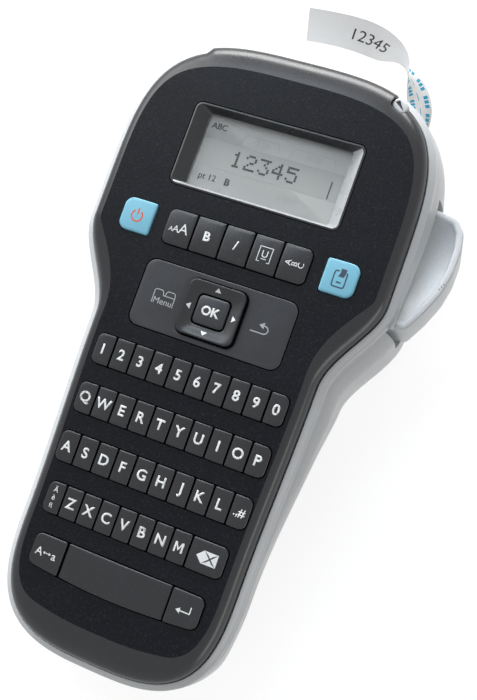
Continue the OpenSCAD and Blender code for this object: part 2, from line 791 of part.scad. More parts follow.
gimbal_pin_r = 0.5;
gimbal_depth = key_depth + 0.95;    // depth of both pins' axes
gimbal_edge = 1.5;                  // how far the gimbal plate lies inside the ring's outline

// A plate on two pins along the face, which carries the ring on two pins across it
module nav_pivot() {
    color("#4a4c52") on_face() translate([0, nav_y, -gimbal_depth]) {
        translate([0, 0, -0.4]) linear_extrude(0.8) difference() {
            rounded(ring_w - 2 * gimbal_edge, ring_l - 2 * gimbal_edge, 2);
            rounded(ok_w + 2, ok_l + 2, 1.5);
        }
        for (a = [0, 180]) rotate(a) {
            translate([0, ring_l / 2 - gimbal_edge - 0.9, 0]) rotate([-90, 0, 0])
                cylinder(r = gimbal_pin_r, h = gimbal_edge + 1.5);
            translate([ring_w / 2 - gimbal_edge - 0.9, 0, 0]) rotate([0, 90, 0])
                cylinder(r = gimbal_pin_r, h = gimbal_edge + 0.6);
        }
    }
}

module nav_ring() {
    color(key_grey) on_face() translate([0, nav_y, 0]) difference() {
        union() {
            translate([0, 0, -key_depth]) linear_extrude(key_depth + ring_rise) difference() {
                rounded(ring_w, ring_l, 2.5);
                rounded(ok_w + 2 * ring_gap, ok_l + 2 * ring_gap, 1.6);
            }
            // saddles that sit on the gimbal's pins
            for (x = [-1, 1]) translate([x * (ring_w / 2 - 0.65), 0, -gimbal_depth])
                translate([-0.55, -1.2, 0]) cube([1.1, 2.4, gimbal_depth - key_depth + 0.2]);
        }
        translate([0, 0, -gimbal_depth]) rotate([0, 90, 0])
            cylinder(r = gimbal_pin_r + run_gap, h = ring_w + 2, center = true);
        // dished top
        translate([0, 0, ring_rise + 27.2]) sphere(r = 28, $fn = 128);
    }
}

module ok_key() {
    color(key_grey) on_face() translate([0, nav_y, 0]) {
        intersection() {
            translate([0, 0, -key_depth]) linear_extrude(key_depth + ring_rise - 0.3)
                rounded(ok_w, ok_l, 1.4);
            translate([0, 0, ring_rise - 0.3 - 40]) sphere(r = 40, $fn = 128);
        }
        translate([0, 0, -key_depth - flange_t]) linear_extrude(flange_t + 0.1)
            rounded(ok_w - 1, ok_l - 1, 1);
    }
}

module digit_keys() { color(key_grey) on_face() for (i = [0:9]) full_row_key(0, i); }
module top_letter_keys() { color(key_grey) on_face() for (i = [0:9]) full_row_key(1, i); }
module home_letter_keys() { color(key_grey) on_face() for (i = [0:8]) full_row_key(2, i); }
module symbol_key() { color(key_grey) on_face() full_row_key(2, 9); }

low_row_start = -low_row_w / 2 + accent_w;
module bottom_letter_keys() {
    color(key_grey) on_face() for (i = [0:6]) row_key(low_row_start + i * low_pitch,
        low_row_start + (i + 1) * low_pitch, row_y(3), key_l, low_row_w);
}
module accent_key() {
    color(key_grey) on_face()
        row_key(-low_row_w / 2, low_row_start, row_y(3), key_l, low_row_w);
}
module delete_key() {
    color(key_grey) on_face()
        flat_key(low_row_w / 2 - delete_w, low_row_w / 2, row_y(3), key_l, low_row_w);
}
module caps_key() {
    color(key_grey) on_face() end_row_key(-end_row_w / 2, -end_row_w / 2 + corner_key_w);
}
module space_key() {
    color(key_grey) on_face() end_row_key(-end_row_w / 2 + corner_key_w,
        end_row_w / 2 - corner_key_w);
}
module enter_key() {
    color(key_grey) on_face() end_row_key(end_row_w / 2 - corner_key_w, end_row_w / 2);
}

// ---- keypad mat and board -----------------------------------------------------------------

// Middles of the contact pills, one list for each row
function pill_row(xs, y) = [for (x = xs) [x, y]];
pills = concat(
    [for (n = [0:2]) each pill_row([for (i = [0:9]) (i - 4.5) * key_pitch], row_y(n))],
    pill_row([for (i = [0:6]) low_row_start + (i + 0.5) * low_pitch], row_y(3)),
    pill_row([(low_row_start - low_row_w / 2) / 2, (low_row_w - delete_w) / 2], row_y(3)),
    pill_row([-(end_row_w - corner_key_w) / 2, 0, (end_row_w - corner_key_w) / 2], row_y(4)),
    pill_row([for (i = [-2:2]) i * format_pitch], format_y),
    pill_row([-big_key_x, big_key_x], format_y),
    pill_row([-nav_w / 2 + 8, -ring_w / 2 + 2, 0, ring_w / 2 - 2, nav_w / 2 - 8], nav_y),
    [[0, nav_y - ring_l / 2 + 2], [0, nav_y + ring_l / 2 - 2]]);

// Flat outline of the mat and the board: the case outline drawn in and cut at both ends
module inner_plan(inset, low, high) {
    difference() {
        intersection() {
            polygon(inset_outline(inset));
            translate([-60, low]) square([120, high - low]);
        }
        for (s = screw_spots) translate([s[0], s[1]]) circle(boss_r + 0.5);
    }
}

module keypad_mat() {
    color("#5b5d63") on_face() {
        translate([0, 0, -mat_top - mat_t]) linear_extrude(mat_t) difference() {
            inner_plan(rim_w + 3.4, row_y(4) - 8, window_y - window_l / 2 - 2);
            for (s = board_spots) translate(s) circle(post_r + 0.5);
        }
        for (p = pills) translate([p[0], p[1], -board_top + 0.3])
            cylinder(r = 1.6, h = board_top - mat_top - mat_t - 0.2, $fn = 24);
        // saddles for the gimbal's other pins
        for (y = [-1, 1]) translate([0, nav_y + y * (ring_l / 2 + 0.1), 0]) difference() {
            translate([-1.2, -0.4, -mat_top - 0.1]) cube([2.4, 0.8, mat_top - gimbal_depth + 0.1]);
            translate([0, 0, -gimbal_depth]) rotate([90, 0, 0])
                cylinder(r = gimbal_pin_r + run_gap, h = 4, center = true);
        }
    }
}

module main_board() {
    color("#2f6b45") on_face() translate([0, 0, -board_top - board_t])
        linear_extrude(board_t) difference() {
            inner_plan(rim_w + 4, grip_end + 10, head_end - 10);
            for (s = board_spots) translate(s) circle(board_screw_r + 0.3);
        }
}

module board_screws() {
    color(steel) on_face() for (s = board_spots) translate([s[0], s[1], 0]) {
        translate([0, 0, -board_top - board_t - 1]) cylinder(r = 1.7, h = 1);
        translate([0, 0, -board_top - board_t - 0.1]) cylinder(r = board_screw_r,
            h = board_t + 2.6);
    }
}

module case_screws() {
    color(steel) on_face() for (s = screw_spots) translate([s[0], s[1], 3 - back_depth(s[1])]) {
        translate([0, 0, -1.6]) cylinder(r = screw_head_r, h = 1.6);
        translate([0, 0, -0.1]) cylinder(r = screw_r, h = back_depth(s[1]) - boss_split + 1);
    }
}

// ---- power --------------------------------------------------------------------------------

jack_y = 6;
jack_z = 30;
module jack_frame() {
    translate([-head_half - head_flare + 7, jack_y, jack_z]) rotate([0, -90, 0]) children();
}

module dc_jack() {
    color("#1f2023") jack_frame() {
        difference() {
            union() {
                translate([0, 0, -6]) cylinder(r = jack_r + 1.15, h = 12.4);
                translate([-4.6, -4.6, -7]) cube([9.2, 9.2, 8.5]);
            }
            translate([0, 0, -4]) cylinder(r = jack_r, h = 12);
        }
        translate([0, 0, -5]) cylinder(r = 0.95, h = 10);
    }
}

module batteries() {
    color("#3c4a5a") for (i = [0:cell_count - 1]) {
        flip = i % 2;
        translate([cell_x(i), cell_low + (flip == 1 ? nub_l + cell_l : 0), cell_z])
            rotate([flip == 1 ? 90 : -90, 0, 0]) {
                cylinder(r = cell_r, h = cell_l);
                translate([0, 0, cell_l - eps]) cylinder(r = 1.9, h = nub_l + eps);
            }
    }
}

spring_l = 2.2;
module battery_springs() {
    wire = 0.4;
    color(steel) for (i = [0:cell_count - 1]) {
        flip = i % 2;
        y = flip == 1 ? cell_high + spring_l : cell_low - spring_l;
        translate([cell_x(i), y, cell_z]) rotate([flip == 1 ? 90 : -90, 0, 0])
            for (k = [0:2]) translate([0, 0, wire + 0.05 + k * 0.62]) rotate_extrude()
                translate([3.4 - k * 0.48, 0]) circle(wire, $fn = 16);
    }
}

// Plates that join neighbouring cells in series, with a dome for each cell's positive end
module battery_plates() {
    color(brassy) for (end = [0, 1]) {
        pairs = end == 1 ? [[0, 1], [2, 3], [4, 5]] : [[0, 0], [1, 2], [3, 4], [5, 5]];
        y = end == 1 ? cell_high + spring_l : cell_low - spring_l;
        for (pair = pairs) translate([cell_x(pair[0]) - 4, y - (end == 1 ? 0 : 0.4),
            cell_z - 4.4]) cube([cell_x(pair[1]) - cell_x(pair[0]) + 8, 0.4, 8.8]);
        for (i = [1 - end:2:cell_count - 1]) translate([cell_x(i), y, cell_z])
            rotate([end == 1 ? 90 : -90, 0, 0]) cylinder(r = 1.8, h = spring_l);
    }
}

// ---- cassette -----------------------------------------------------------------------------

module cassette_plan(grow) {
    translate([cassette_left - grow, cassette_low - grow]) difference() {
        square([cassette_w + 2 * grow, cassette_l + 2 * grow]);
        translate([notch_x - cassette_left, notch_low - cassette_low])
            square([cassette_w, cassette_l]);
    }
}

module cassette_shell() {
    color("#dfe3e2") difference() {
        translate([0, 0, cassette_z]) linear_extrude(cassette_t) cassette_plan(0);
        translate([0, 0, cassette_z + cassette_wall])
            linear_extrude(cassette_t - 2 * cassette_wall) difference() {
                cassette_plan(-cassette_wall);
                translate([notch_x - cassette_wall, notch_low - cassette_wall])
                    square([cassette_w, cassette_l]);
                for (s = [roll_at, supply_at]) translate(s) circle(3);
            }
        // mouth for the tape
        translate([cassette_right - 4, notch_low - 6, tape_z - 0.5])
            cube([6, 1.4, tape_w + 1]);
        translate([takeup_at[0], takeup_at[1], cassette_z - 1])
            cylinder(r = 3.4, h = cassette_t + 2);
        // window that shows how much tape is left
        translate([roll_at[0] - 6, roll_at[1] - roll_r + 2, cassette_z - 1])
            cube([12, 9, cassette_wall + 2]);
    }
}

module spool(at, r, bore, w = tape_w) {
    translate([at[0], at[1], tape_z]) difference() {
        cylinder(r = r, h = w, $fn = 96);
        translate([0, 0, -1]) cylinder(r = bore, h = w + 2);
    }
}

module tape_roll() { color("#f0eeea") spool(roll_at, roll_r, 3 + run_gap); }
module ribbon_supply_spool() { color("#2a2a2c") spool(supply_at, 8.5, 3 + run_gap); }
module takeup_spool() { color("#2a2a2c") spool(takeup_at, 6.5, 2.4); }

// The tape's way from the roll through the mouth and past the print head to the blade
module cassette_tape() {
    start = [roll_at[0] + roll_r + 0.5, roll_at[1] + 2];
    color("#f0eeea") translate([0, 0, tape_z]) linear_extrude(tape_w) polygon([
        start, [cassette_right - 2, notch_low - 5.4], [cassette_right + 0.2, notch_low - 5.4],
        [tape_x + tape_t / 2, notch_low + 1], [tape_x + tape_t / 2, blade_y - 0.3],
        [tape_x - tape_t / 2, blade_y - 0.3], [tape_x - tape_t / 2, notch_low + 1],
        [cassette_right, notch_low - 5.2], [cassette_right - 2.2, notch_low - 5.2],
        start + [-0.2, 0.1]]);
}

// ---- printed label ------------------------------------------------------------------------

label_t = 0.25;
label_steps = 24;
label_start = blade_y + 3.1;
tape_mid = tape_z + tape_w / 2;
// The label's way: straight out of the case, then curling up and over to the left
label_path = [[tape_x, label_start, tape_mid], [tape_x, 54, tape_mid], [37.6, 68, 12],
    [21, 78, 20], [22, 71, 38], [8, 71, 38], [-8, 69, 39]];
function bezier(points, t) = len(points) == 1 ? points[0]
    : bezier([for (i = [0:len(points) - 2]) blend(points[i], points[i + 1], t)], t);
// How far the label leans to the right of its way, at a share s of its length
function label_lean(s) = -46 * smooth((s - 0.09) / 0.21) * (1 - smooth((s - 0.32) / 0.3))
    + 40 * smooth((s - 0.45) / 0.35);
function label_ring(s) = let (d = unit(bezier(label_path, s + 0.01)
        - bezier(label_path, s - 0.01)),
    side = unit([d[1], -d[0], 0]), lean = label_lean(s),
    up = side * sin(lean) + [0, 0, 1] * cos(lean),
    across = unit(up - d * (up * d)), through = unit(cross(d, across)),
    m = bezier(label_path, s))
    [for (c = [[-1, -1], [1, -1], [1, 1], [-1, 1]])
        m + across * c[0] * (tape_w - 0.6) / 2 + through * c[1] * label_t / 2];

module printed_label() {
    points = [for (k = [0:label_steps]) each label_ring(k / label_steps)];
    sides = [for (k = [0:label_steps - 1]) for (j = [0:3]) let (a = 4 * k, n = (j + 1) % 4)
        each [[a + j, a + n, a + 4 + n], [a + j, a + 4 + n, a + 4 + j]]];
    top = 4 * label_steps;
    color("#f4f1ec") polyhedron(points, concat(sides,
        [[3, 2, 1, 0], [top, top + 1, top + 2, top + 3]]));
}

// ---- print mechanism ----------------------------------------------------------------------

stud_top = gear_z2 + gear_t + 0.3;
module mechanism_frame() {
    color(steel) difference() {
        union() {
            translate([0, 0, chassis_z]) linear_extrude(chassis_t) chassis_plan();
            for (s = [reduction_at, drive_at, idler_at])
                translate([s[0], s[1], chassis_z + chassis_t - eps]) {
                    cylinder(r = stud_r, h = stud_top - chassis_z - chassis_t + eps);
                    cylinder(r = stud_r + 1, h = 0.6);
                }
            // legs to the floor of the case
            for (s = frame_legs) translate([s[0], s[1], wall])
                cylinder(r = 1.6, h = chassis_z - wall + eps);
            // plate behind the print head
            translate([notch_x + 0.4, print_y - 6, cassette_z + 1])
                cube([1.2, 12, chassis_z - cassette_z - 1 + eps]);
            // anvil for the blade
            translate([notch_x + 0.4, blade_y - 1.1, cassette_z + 1])
                cube([tape_x - notch_x - 0.8, 0.8, chassis_z - cassette_z - 1 + eps]);
        }
        translate([motor_at[0], motor_at[1], chassis_z - 1]) cylinder(r = 3, h = 4);
        translate([takeup_at[0], takeup_at[1], chassis_z - 1]) cylinder(r = 2 + run_gap, h = 4);
        translate([platen_x, print_y, chassis_z - 1]) cylinder(r = stud_r + run_gap, h = 4);
    }
}
frame_legs = [[-45, 8], [-42.4, -22], [41, -25]];
module chassis_plan() {
    difference() {
        translate([-48.5, -30]) square([96, 68.2]);
        // corners and edges that clear the case, the lever and the carrier
        translate([-52, 30]) rotate(45) square(20, center = true);
        translate([-50, -34]) rotate(45) square(20, center = true);
        translate([43.5, slot_low + 0.6]) square([20, 70]);
        // room round the screw boss in the head
        translate([screw_spots[0][0], face_shift + screw_spots[0][1] * cos(face_tilt) + 2])
            circle(boss_r + 1.4);
    }
}

module motor() {
    color("#9aa0a6") translate([motor_at[0], motor_at[1], 0]) {
        translate([0, 0, chassis_z - 17.5]) cylinder(r = motor_r, h = 17.5);
        translate([0, 0, chassis_z - 18.3]) cylinder(r = 3, h = 1);
        translate([0, 0, chassis_z - eps]) cylinder(r = 2.6, h = chassis_t);
    }
}

module motor_pinion() {
    color(brassy) translate([motor_at[0], motor_at[1], 0]) {
        gear(pinion_teeth, pinion_phase, gear_z1);
        translate([0, 0, gear_z1 - 0.6]) cylinder(r = 1.2, h = gear_t + 1.6);
    }
}

module bored_gear(at, teeth, phase, z) {
    translate([at[0], at[1], 0]) difference() {
        gear(teeth, phase, z);
        translate([0, 0, z - 1]) cylinder(r = stud_r + run_gap, h = gear_t + 2);
    }
}

module reduction_gear() {
    color("#e8e6df") {
        bored_gear(reduction_at, wheel_teeth, wheel_phase, gear_z1);
        bored_gear(reduction_at, small_teeth, small_phase, gear_z2);
        translate([reduction_at[0], reduction_at[1], gear_z1 + gear_t - eps]) difference() {
            cylinder(r = 3.4, h = gear_z2 - gear_z1 - gear_t + 2 * eps);
            translate([0, 0, -1]) cylinder(r = stud_r + run_gap, h = 3);
        }
    }
}

// A gear with a raised hub that reaches down to the stud's collar
module hub_gear(at, teeth, phase) {
    bored_gear(at, teeth, phase, gear_z2);
    translate([at[0], at[1], chassis_z + chassis_t + 0.9]) difference() {
        cylinder(r = 3, h = gear_z2 - chassis_z - chassis_t - 0.9 + eps);
        translate([0, 0, -1]) cylinder(r = stud_r + run_gap, h = 6);
    }
}

module drive_gear() { color("#e8e6df") hub_gear(drive_at, drive_teeth, drive_phase); }
module idler_gear() { color("#e8e6df") hub_gear(idler_at, idler_teeth, idler_phase); }

module platen_gear() {
    color("#e8e6df") translate([platen_x, print_y, 0]) difference() {
        gear(platen_teeth, platen_phase, gear_z2);
        translate([0, 0, gear_z2 - 1]) cylinder(r = stud_r, h = gear_t + 2);
    }
}

platen_low = cassette_z + 2.4;
platen_high = chassis_z - 2.4;
module platen_roller() {
    color("#303236") translate([platen_x, print_y, 0]) {
        translate([0, 0, platen_low]) cylinder(r = platen_r, h = platen_high - platen_low);
        translate([0, 0, cassette_z + 0.6])
            cylinder(r = stud_r, h = stud_top - cassette_z - 0.6);
    }
}

module roller_bracket() {
    web_y = print_y - platen_r - 2;
    color(steel) difference() {
        union() {
            translate([tape_x + 1.4, web_y, cassette_z + 0.4]) cube([6.6, 1.5,
                chassis_z - cassette_z - 0.4]);
            for (z = [cassette_z + 0.4, chassis_z - 1.6]) translate([tape_x + 1.4, web_y, z])
                cube([6.6, platen_r + 4, 1.6]);
        }
        translate([platen_x, print_y, cassette_z - 1])
            cylinder(r = stud_r + run_gap, h = chassis_z - cassette_z + 4);
    }
}

module takeup_spindle() {
    color("#e8e6df") translate([takeup_at[0], takeup_at[1], 0]) {
        gear(takeup_teeth, takeup_phase, gear_z2);
        translate([0, 0, cassette_z + 3]) cylinder(r = 2, h = stud_top - cassette_z - 3);
        // splines that turn the spool
        for (a = [0:60:300]) rotate(a) translate([1.6, -0.3, tape_z])
            cube([0.7, 0.6, tape_w]);
    }
}

module print_head() {
    color("#e9e4da") translate([tape_x - tape_t / 2 - head_gap - 0.8, print_y - 6,
        tape_z - 1]) cube([0.8, 12, tape_w + 2]);
}

module heat_sink() {
    x0 = notch_x + 1.6;
    x1 = tape_x - tape_t / 2 - head_gap - 0.8;
    color("#b8bcc0") translate([x0, print_y - 6, tape_z - 1]) difference() {
        cube([x1 - x0, 12, tape_w + 2]);
        for (k = [0:4]) translate([-eps, 1 + 2.2 * k, -1]) cube([0.7, 1, tape_w + 4]);
    }
}

// ---- cutter pieces ------------------------------------------------------------------------

module lever_plan() {
    r = 2.4;
    offset(r = r, $fn = 32) offset(delta = -r) polygon([
        [pivot_at[0] - 3.2, pivot_at[1] - 3.2], [57.4, pivot_at[1] - 1.6], [61, -13.6],
        [64.2, -6], [lever_tip, 1], [lever_tip, 8], [lever_tip - 1, 14], [62.4, 17.4],
        [57, 19.2], [51.2, 19.8], [51.2, 5],
        [pivot_at[0] - 3.2, pivot_at[1] + 4]]);
}

module cutter_lever() {
    color(silver) difference() {
        union() {
            translate([0, 0, lever_z]) linear_extrude(lever_h) lever_plan();
            // pad that pushes the blade carrier
            translate([pad_x, push_y - 6, pad_z]) cube([10.4, 6, pad_t]);
        }
        translate([pivot_at[0], pivot_at[1], lever_z - 1])
            cylinder(r = lever_pin_r + run_gap, h = lever_h + 2);
        // dished front face inside a raised rim
        translate([56.2, 2, lever_z + lever_h + 50 - 2.4]) sphere(r = 50, $fn = 160);
    }
}

module lever_pin() {
    color(steel) translate([pivot_at[0], pivot_at[1], lever_z - 6])
        cylinder(r = lever_pin_r, h = lever_h + 8);
}

module lever_spring() {
    wire = 0.35;
    color(steel) translate([pivot_at[0], pivot_at[1], lever_z - 3.6]) {
        for (k = [0:2]) translate([0, 0, -k * 0.62]) rotate_extrude()
            translate([2.3, 0]) circle(wire, $fn = 16);
    }
}

carrier_low = tape_z + 6;
module cutter_carrier() {
    color("#d8d4c8") {
        translate([carrier_x, blade_y + 0.5, carrier_low])
            cube([carrier_w, 2.2, pad_z + pad_t - carrier_low]);
        translate([carrier_x, push_y - 6, pad_z])
            cube([carrier_w, blade_y + 2.7 - push_y + 6, pad_t]);
    }
}

module cutter_blade() {
    color("#d6d9dc") translate([tape_x + 0.9, blade_y, tape_z - 1])
        cube([carrier_x + carrier_w - tape_x - 0.9, blade_t, tape_w + 2]);
}

front_cover();
rear_case();
tape_door();
battery_cover();
display_bezel();
display_window();
lcd_panel();
power_key();
print_key();
size_key();
bold_key();
italic_key();
underline_key();
vertical_key();
menu_back_rocker();
nav_pivot();
nav_ring();
ok_key();
digit_keys();
top_letter_keys();
home_letter_keys();
bottom_letter_keys();
symbol_key();
accent_key();
delete_key();
caps_key();
space_key();
enter_key();
keypad_mat();
main_board();
board_screws();
case_screws();
dc_jack();
batteries();
battery_springs();
battery_plates();
mechanism_frame();
motor();
motor_pinion();
reduction_gear();
drive_gear();
idler_gear();
platen_gear();
platen_roller();
roller_bracket();
takeup_spindle();
takeup_spool();
ribbon_supply_spool();
tape_roll();
cassette_shell();
cassette_tape();
printed_label();
print_head();
heat_sink();
cutter_lever();
lever_pin();
cutter_blade();
cutter_carrier();
lever_spring();
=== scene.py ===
"""Looks of a handheld label maker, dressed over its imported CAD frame.

Sizes are in millimetres in the face frame (x to the right, y up the face, z out of the key
tops) or in the row frame where a name says so. Meshes are made in metres in the row frame.
"""

import logging
import math
from collections.abc import Callable, Iterable, Sequence
from dataclasses import dataclass, field, replace
from enum import Enum

import bmesh
import bpy
from mathutils import Matrix, Vector


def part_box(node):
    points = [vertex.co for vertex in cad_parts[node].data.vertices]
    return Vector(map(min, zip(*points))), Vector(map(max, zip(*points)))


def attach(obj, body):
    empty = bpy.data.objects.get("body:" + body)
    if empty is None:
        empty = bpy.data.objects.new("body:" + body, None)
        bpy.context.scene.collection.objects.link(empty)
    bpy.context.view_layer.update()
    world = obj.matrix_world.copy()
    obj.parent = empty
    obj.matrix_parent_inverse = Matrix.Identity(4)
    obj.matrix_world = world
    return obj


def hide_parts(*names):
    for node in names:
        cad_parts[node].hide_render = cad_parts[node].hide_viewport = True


LOG = logging.getLogger("label_maker")
MM = 0.001

Point = tuple[float, float]
Triple = tuple[float, float, float]
Colour = tuple[float, float, float]
Height = Callable[[float, float], float]

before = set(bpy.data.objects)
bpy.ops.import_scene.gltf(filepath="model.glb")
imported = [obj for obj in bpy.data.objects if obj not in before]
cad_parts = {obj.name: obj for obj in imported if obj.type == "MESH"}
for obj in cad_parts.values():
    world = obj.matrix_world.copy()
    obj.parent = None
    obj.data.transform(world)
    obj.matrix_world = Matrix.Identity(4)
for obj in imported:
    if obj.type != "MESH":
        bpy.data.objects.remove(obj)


# ---- frames and outlines --------------------------------------------------------------------


@dataclass(frozen=True)
class FaceFrame:
    """The tilted frame of the key tops, stated in the row frame."""

    tilt: float = 6.0
    height: float = 44.0
    shift: float = -54.0

    def matrix(self) -> Matrix:
        """The face frame's place, in metres."""
        place = Matrix.Translation((0, self.shift * MM, self.height * MM))
        return place @ Matrix.Rotation(math.radians(self.tilt), 4, "X")

    def world(self, x: float, y: float, z: float) -> Vector:
        """A face point in millimetres, as a row frame point in metres."""
        return self.matrix() @ (Vector((x, y, z)) * MM)

    def local(self, point: Vector) -> Vector:
        """A row frame point in metres, as a face point in millimetres."""
        return (self.matrix().inverted() @ point) / MM


FACE = FaceFrame()


def smooth(t: float) -> float:
    """An even step from 0 to 1."""
    u = min(1.0, max(0.0, t))
    return u * u * (3 - 2 * u)


def mix(a: float, b: float, t: float) -> float:
    """The value a share t of the way from a to b."""
    return a + (b - a) * t


def rounded(w: float, l: float, radii: Sequence[float], steps: int = 7,
            x: float = 0.0, y: float = 0.0, edge_cuts: int = 6) -> list[Point]:
    """A rounded rectangle, anticlockwise from its lower right corner.

    Args:
        w: Width along x.
        l: Length along y.
        radii: Triple radii: lower right, upper right, upper left, lower left.
        steps: Segments in each corner.
        x: Middle along x.
        y: Middle along y.
        edge_cuts: Extra points along each straight side.

    Returns:
        The corner points, always the same count for the same steps and cuts.
    """
    points: list[Point] = []
    corners = [(1, -1), (1, 1), (-1, 1), (-1, -1)]
    arcs = []
    for k, (sx, sy) in enumerate(corners):
        r = radii[k]
        cx, cy = x + sx * (w / 2 - r), y + sy * (l / 2 - r)
        start = math.radians(-90 + 90 * k)
        arcs.append([(cx + r * math.cos(start + math.pi / 2 * i / steps),
                      cy + r * math.sin(start + math.pi / 2 * i / steps))
                     for i in range(steps + 1)])
    for k in range(4):
        points += arcs[k]
        (ax, ay), (bx, by) = arcs[k][-1], arcs[(k + 1) % 4][0]
        points += [(mix(ax, bx, i / (edge_cuts + 1)), mix(ay, by, i / (edge_cuts + 1)))
                   for i in range(1, edge_cuts + 1)]
    return points


def outward(points: Sequence[Point]) -> list[Point]:
    """The unit outward normals of an anticlockwise outline."""
    normals = []
    count = len(points)
    for i in range(count):
        ax, ay = points[i - 1]
        bx, by = points[(i + 1) % count]
        length = math.hypot(bx - ax, by - ay) or 1.0
        normals.append(((by - ay) / length, -(bx - ax) / length))
    return normals


def inset(points: Sequence[Point], distance: float) -> list[Point]:
    """An outline drawn in by a distance."""
    return [(p[0] - n[0] * distance, p[1] - n[1] * distance)
            for p, n in zip(points, outward(points))]


def centre_of(points: Sequence[Point]) -> Point:
    """The middle of an outline's box."""
    xs, ys = [p[0] for p in points], [p[1] for p in points]
    return (min(xs) + max(xs)) / 2, (min(ys) + max(ys)) / 2


@dataclass
class CaseOutline:
    """The case's outline on the face, waisted between the head and the grip."""

    head_half: float = 52.8
    head_end: float = 104.5
    head_start: float = 50.0
    head_power: float = 3.4
    grip_half: float = 40.4
    grip_low_half: float = 38.8
    grip_start: float = -60.0
    grip_end: float = -100.2
    grip_power: float = 3.1
    waist_low: float = 5.0
    waist_high: float = 36.0
    tongue_half: float = 33.0
    tongue_turn: float = 1.6
    count: int = 440
    points: list[Point] = field(default_factory=list)
    normals: list[Point] = field(default_factory=list)

    def __post_init__(self) -> None:
        """Draws the outline with evenly spaced points."""
        fine = 240
        half = [self.end_point(math.pi / 2 * i / fine, self.grip_low_half, self.grip_start,
                               self.grip_end, self.grip_power) for i in range(fine + 1)]
        for i in range(1, fine):
            y = mix(self.grip_start, self.head_start, i / fine)
            half.append((self.side_half(y), y))
        half += [self.end_point(math.pi / 2 * (1 - i / fine), self.head_half, self.head_start,
                                self.head_end, self.head_power) for i in range(fine + 1)]
        ring = half + [(-x, y) for x, y in reversed(half[1:-1])]
        lengths = [0.0]
        for i in range(len(ring)):
            (ax, ay), (bx, by) = ring[i], ring[(i + 1) % len(ring)]
            lengths.append(lengths[-1] + math.hypot(bx - ax, by - ay))
        at = 0
        for k in range(self.count):
            want = lengths[-1] * k / self.count
            while lengths[at + 1] < want:
                at += 1
            t = (want - lengths[at]) / max(1e-9, lengths[at + 1] - lengths[at])
            (ax, ay), (bx, by) = ring[at], ring[(at + 1) % len(ring)]
            self.points.append((mix(ax, bx, t), mix(ay, by, t)))
        self.normals = outward(self.points)

    @staticmethod
    def end_point(a: float, half: float, start: float, end: float, power: float) -> Point:
        """A point of a rounded end, at an angle in radians from its tip."""
        return (half * max(0.0, math.sin(a)) ** (2 / power),
                start + (end - start) * max(0.0, math.cos(a)) ** (2 / power))

    def side_half(self, y: float) -> float:
        """Half the width at a place along the sides."""
        return (self.grip_low_half
                + (self.grip_half - self.grip_low_half)
                * smooth((y - self.grip_start) / (self.waist_low - self.grip_start))
                + (self.head_half - self.grip_half)
                * smooth((y - self.waist_low) / (self.waist_high - self.waist_low)))

    def tongue(self, i: int) -> float:
        """1 where the cover reaches over the rim at the head's end, else 0."""
        x, y = self.points[i]
        if y < self.head_start:
            return 0.0
        return smooth((self.tongue_half + self.tongue_turn / 2 - abs(x)) / self.tongue_turn)

    def ring(self, out: Callable[[int], float]) -> list[Point]:
        """The outline moved outward by a distance for each point."""
        return [(p[0] + n[0] * out(i), p[1] + n[1] * out(i))
                for i, (p, n) in enumerate(zip(self.points, self.normals))]


# ---- meshes ---------------------------------------------------------------------------------


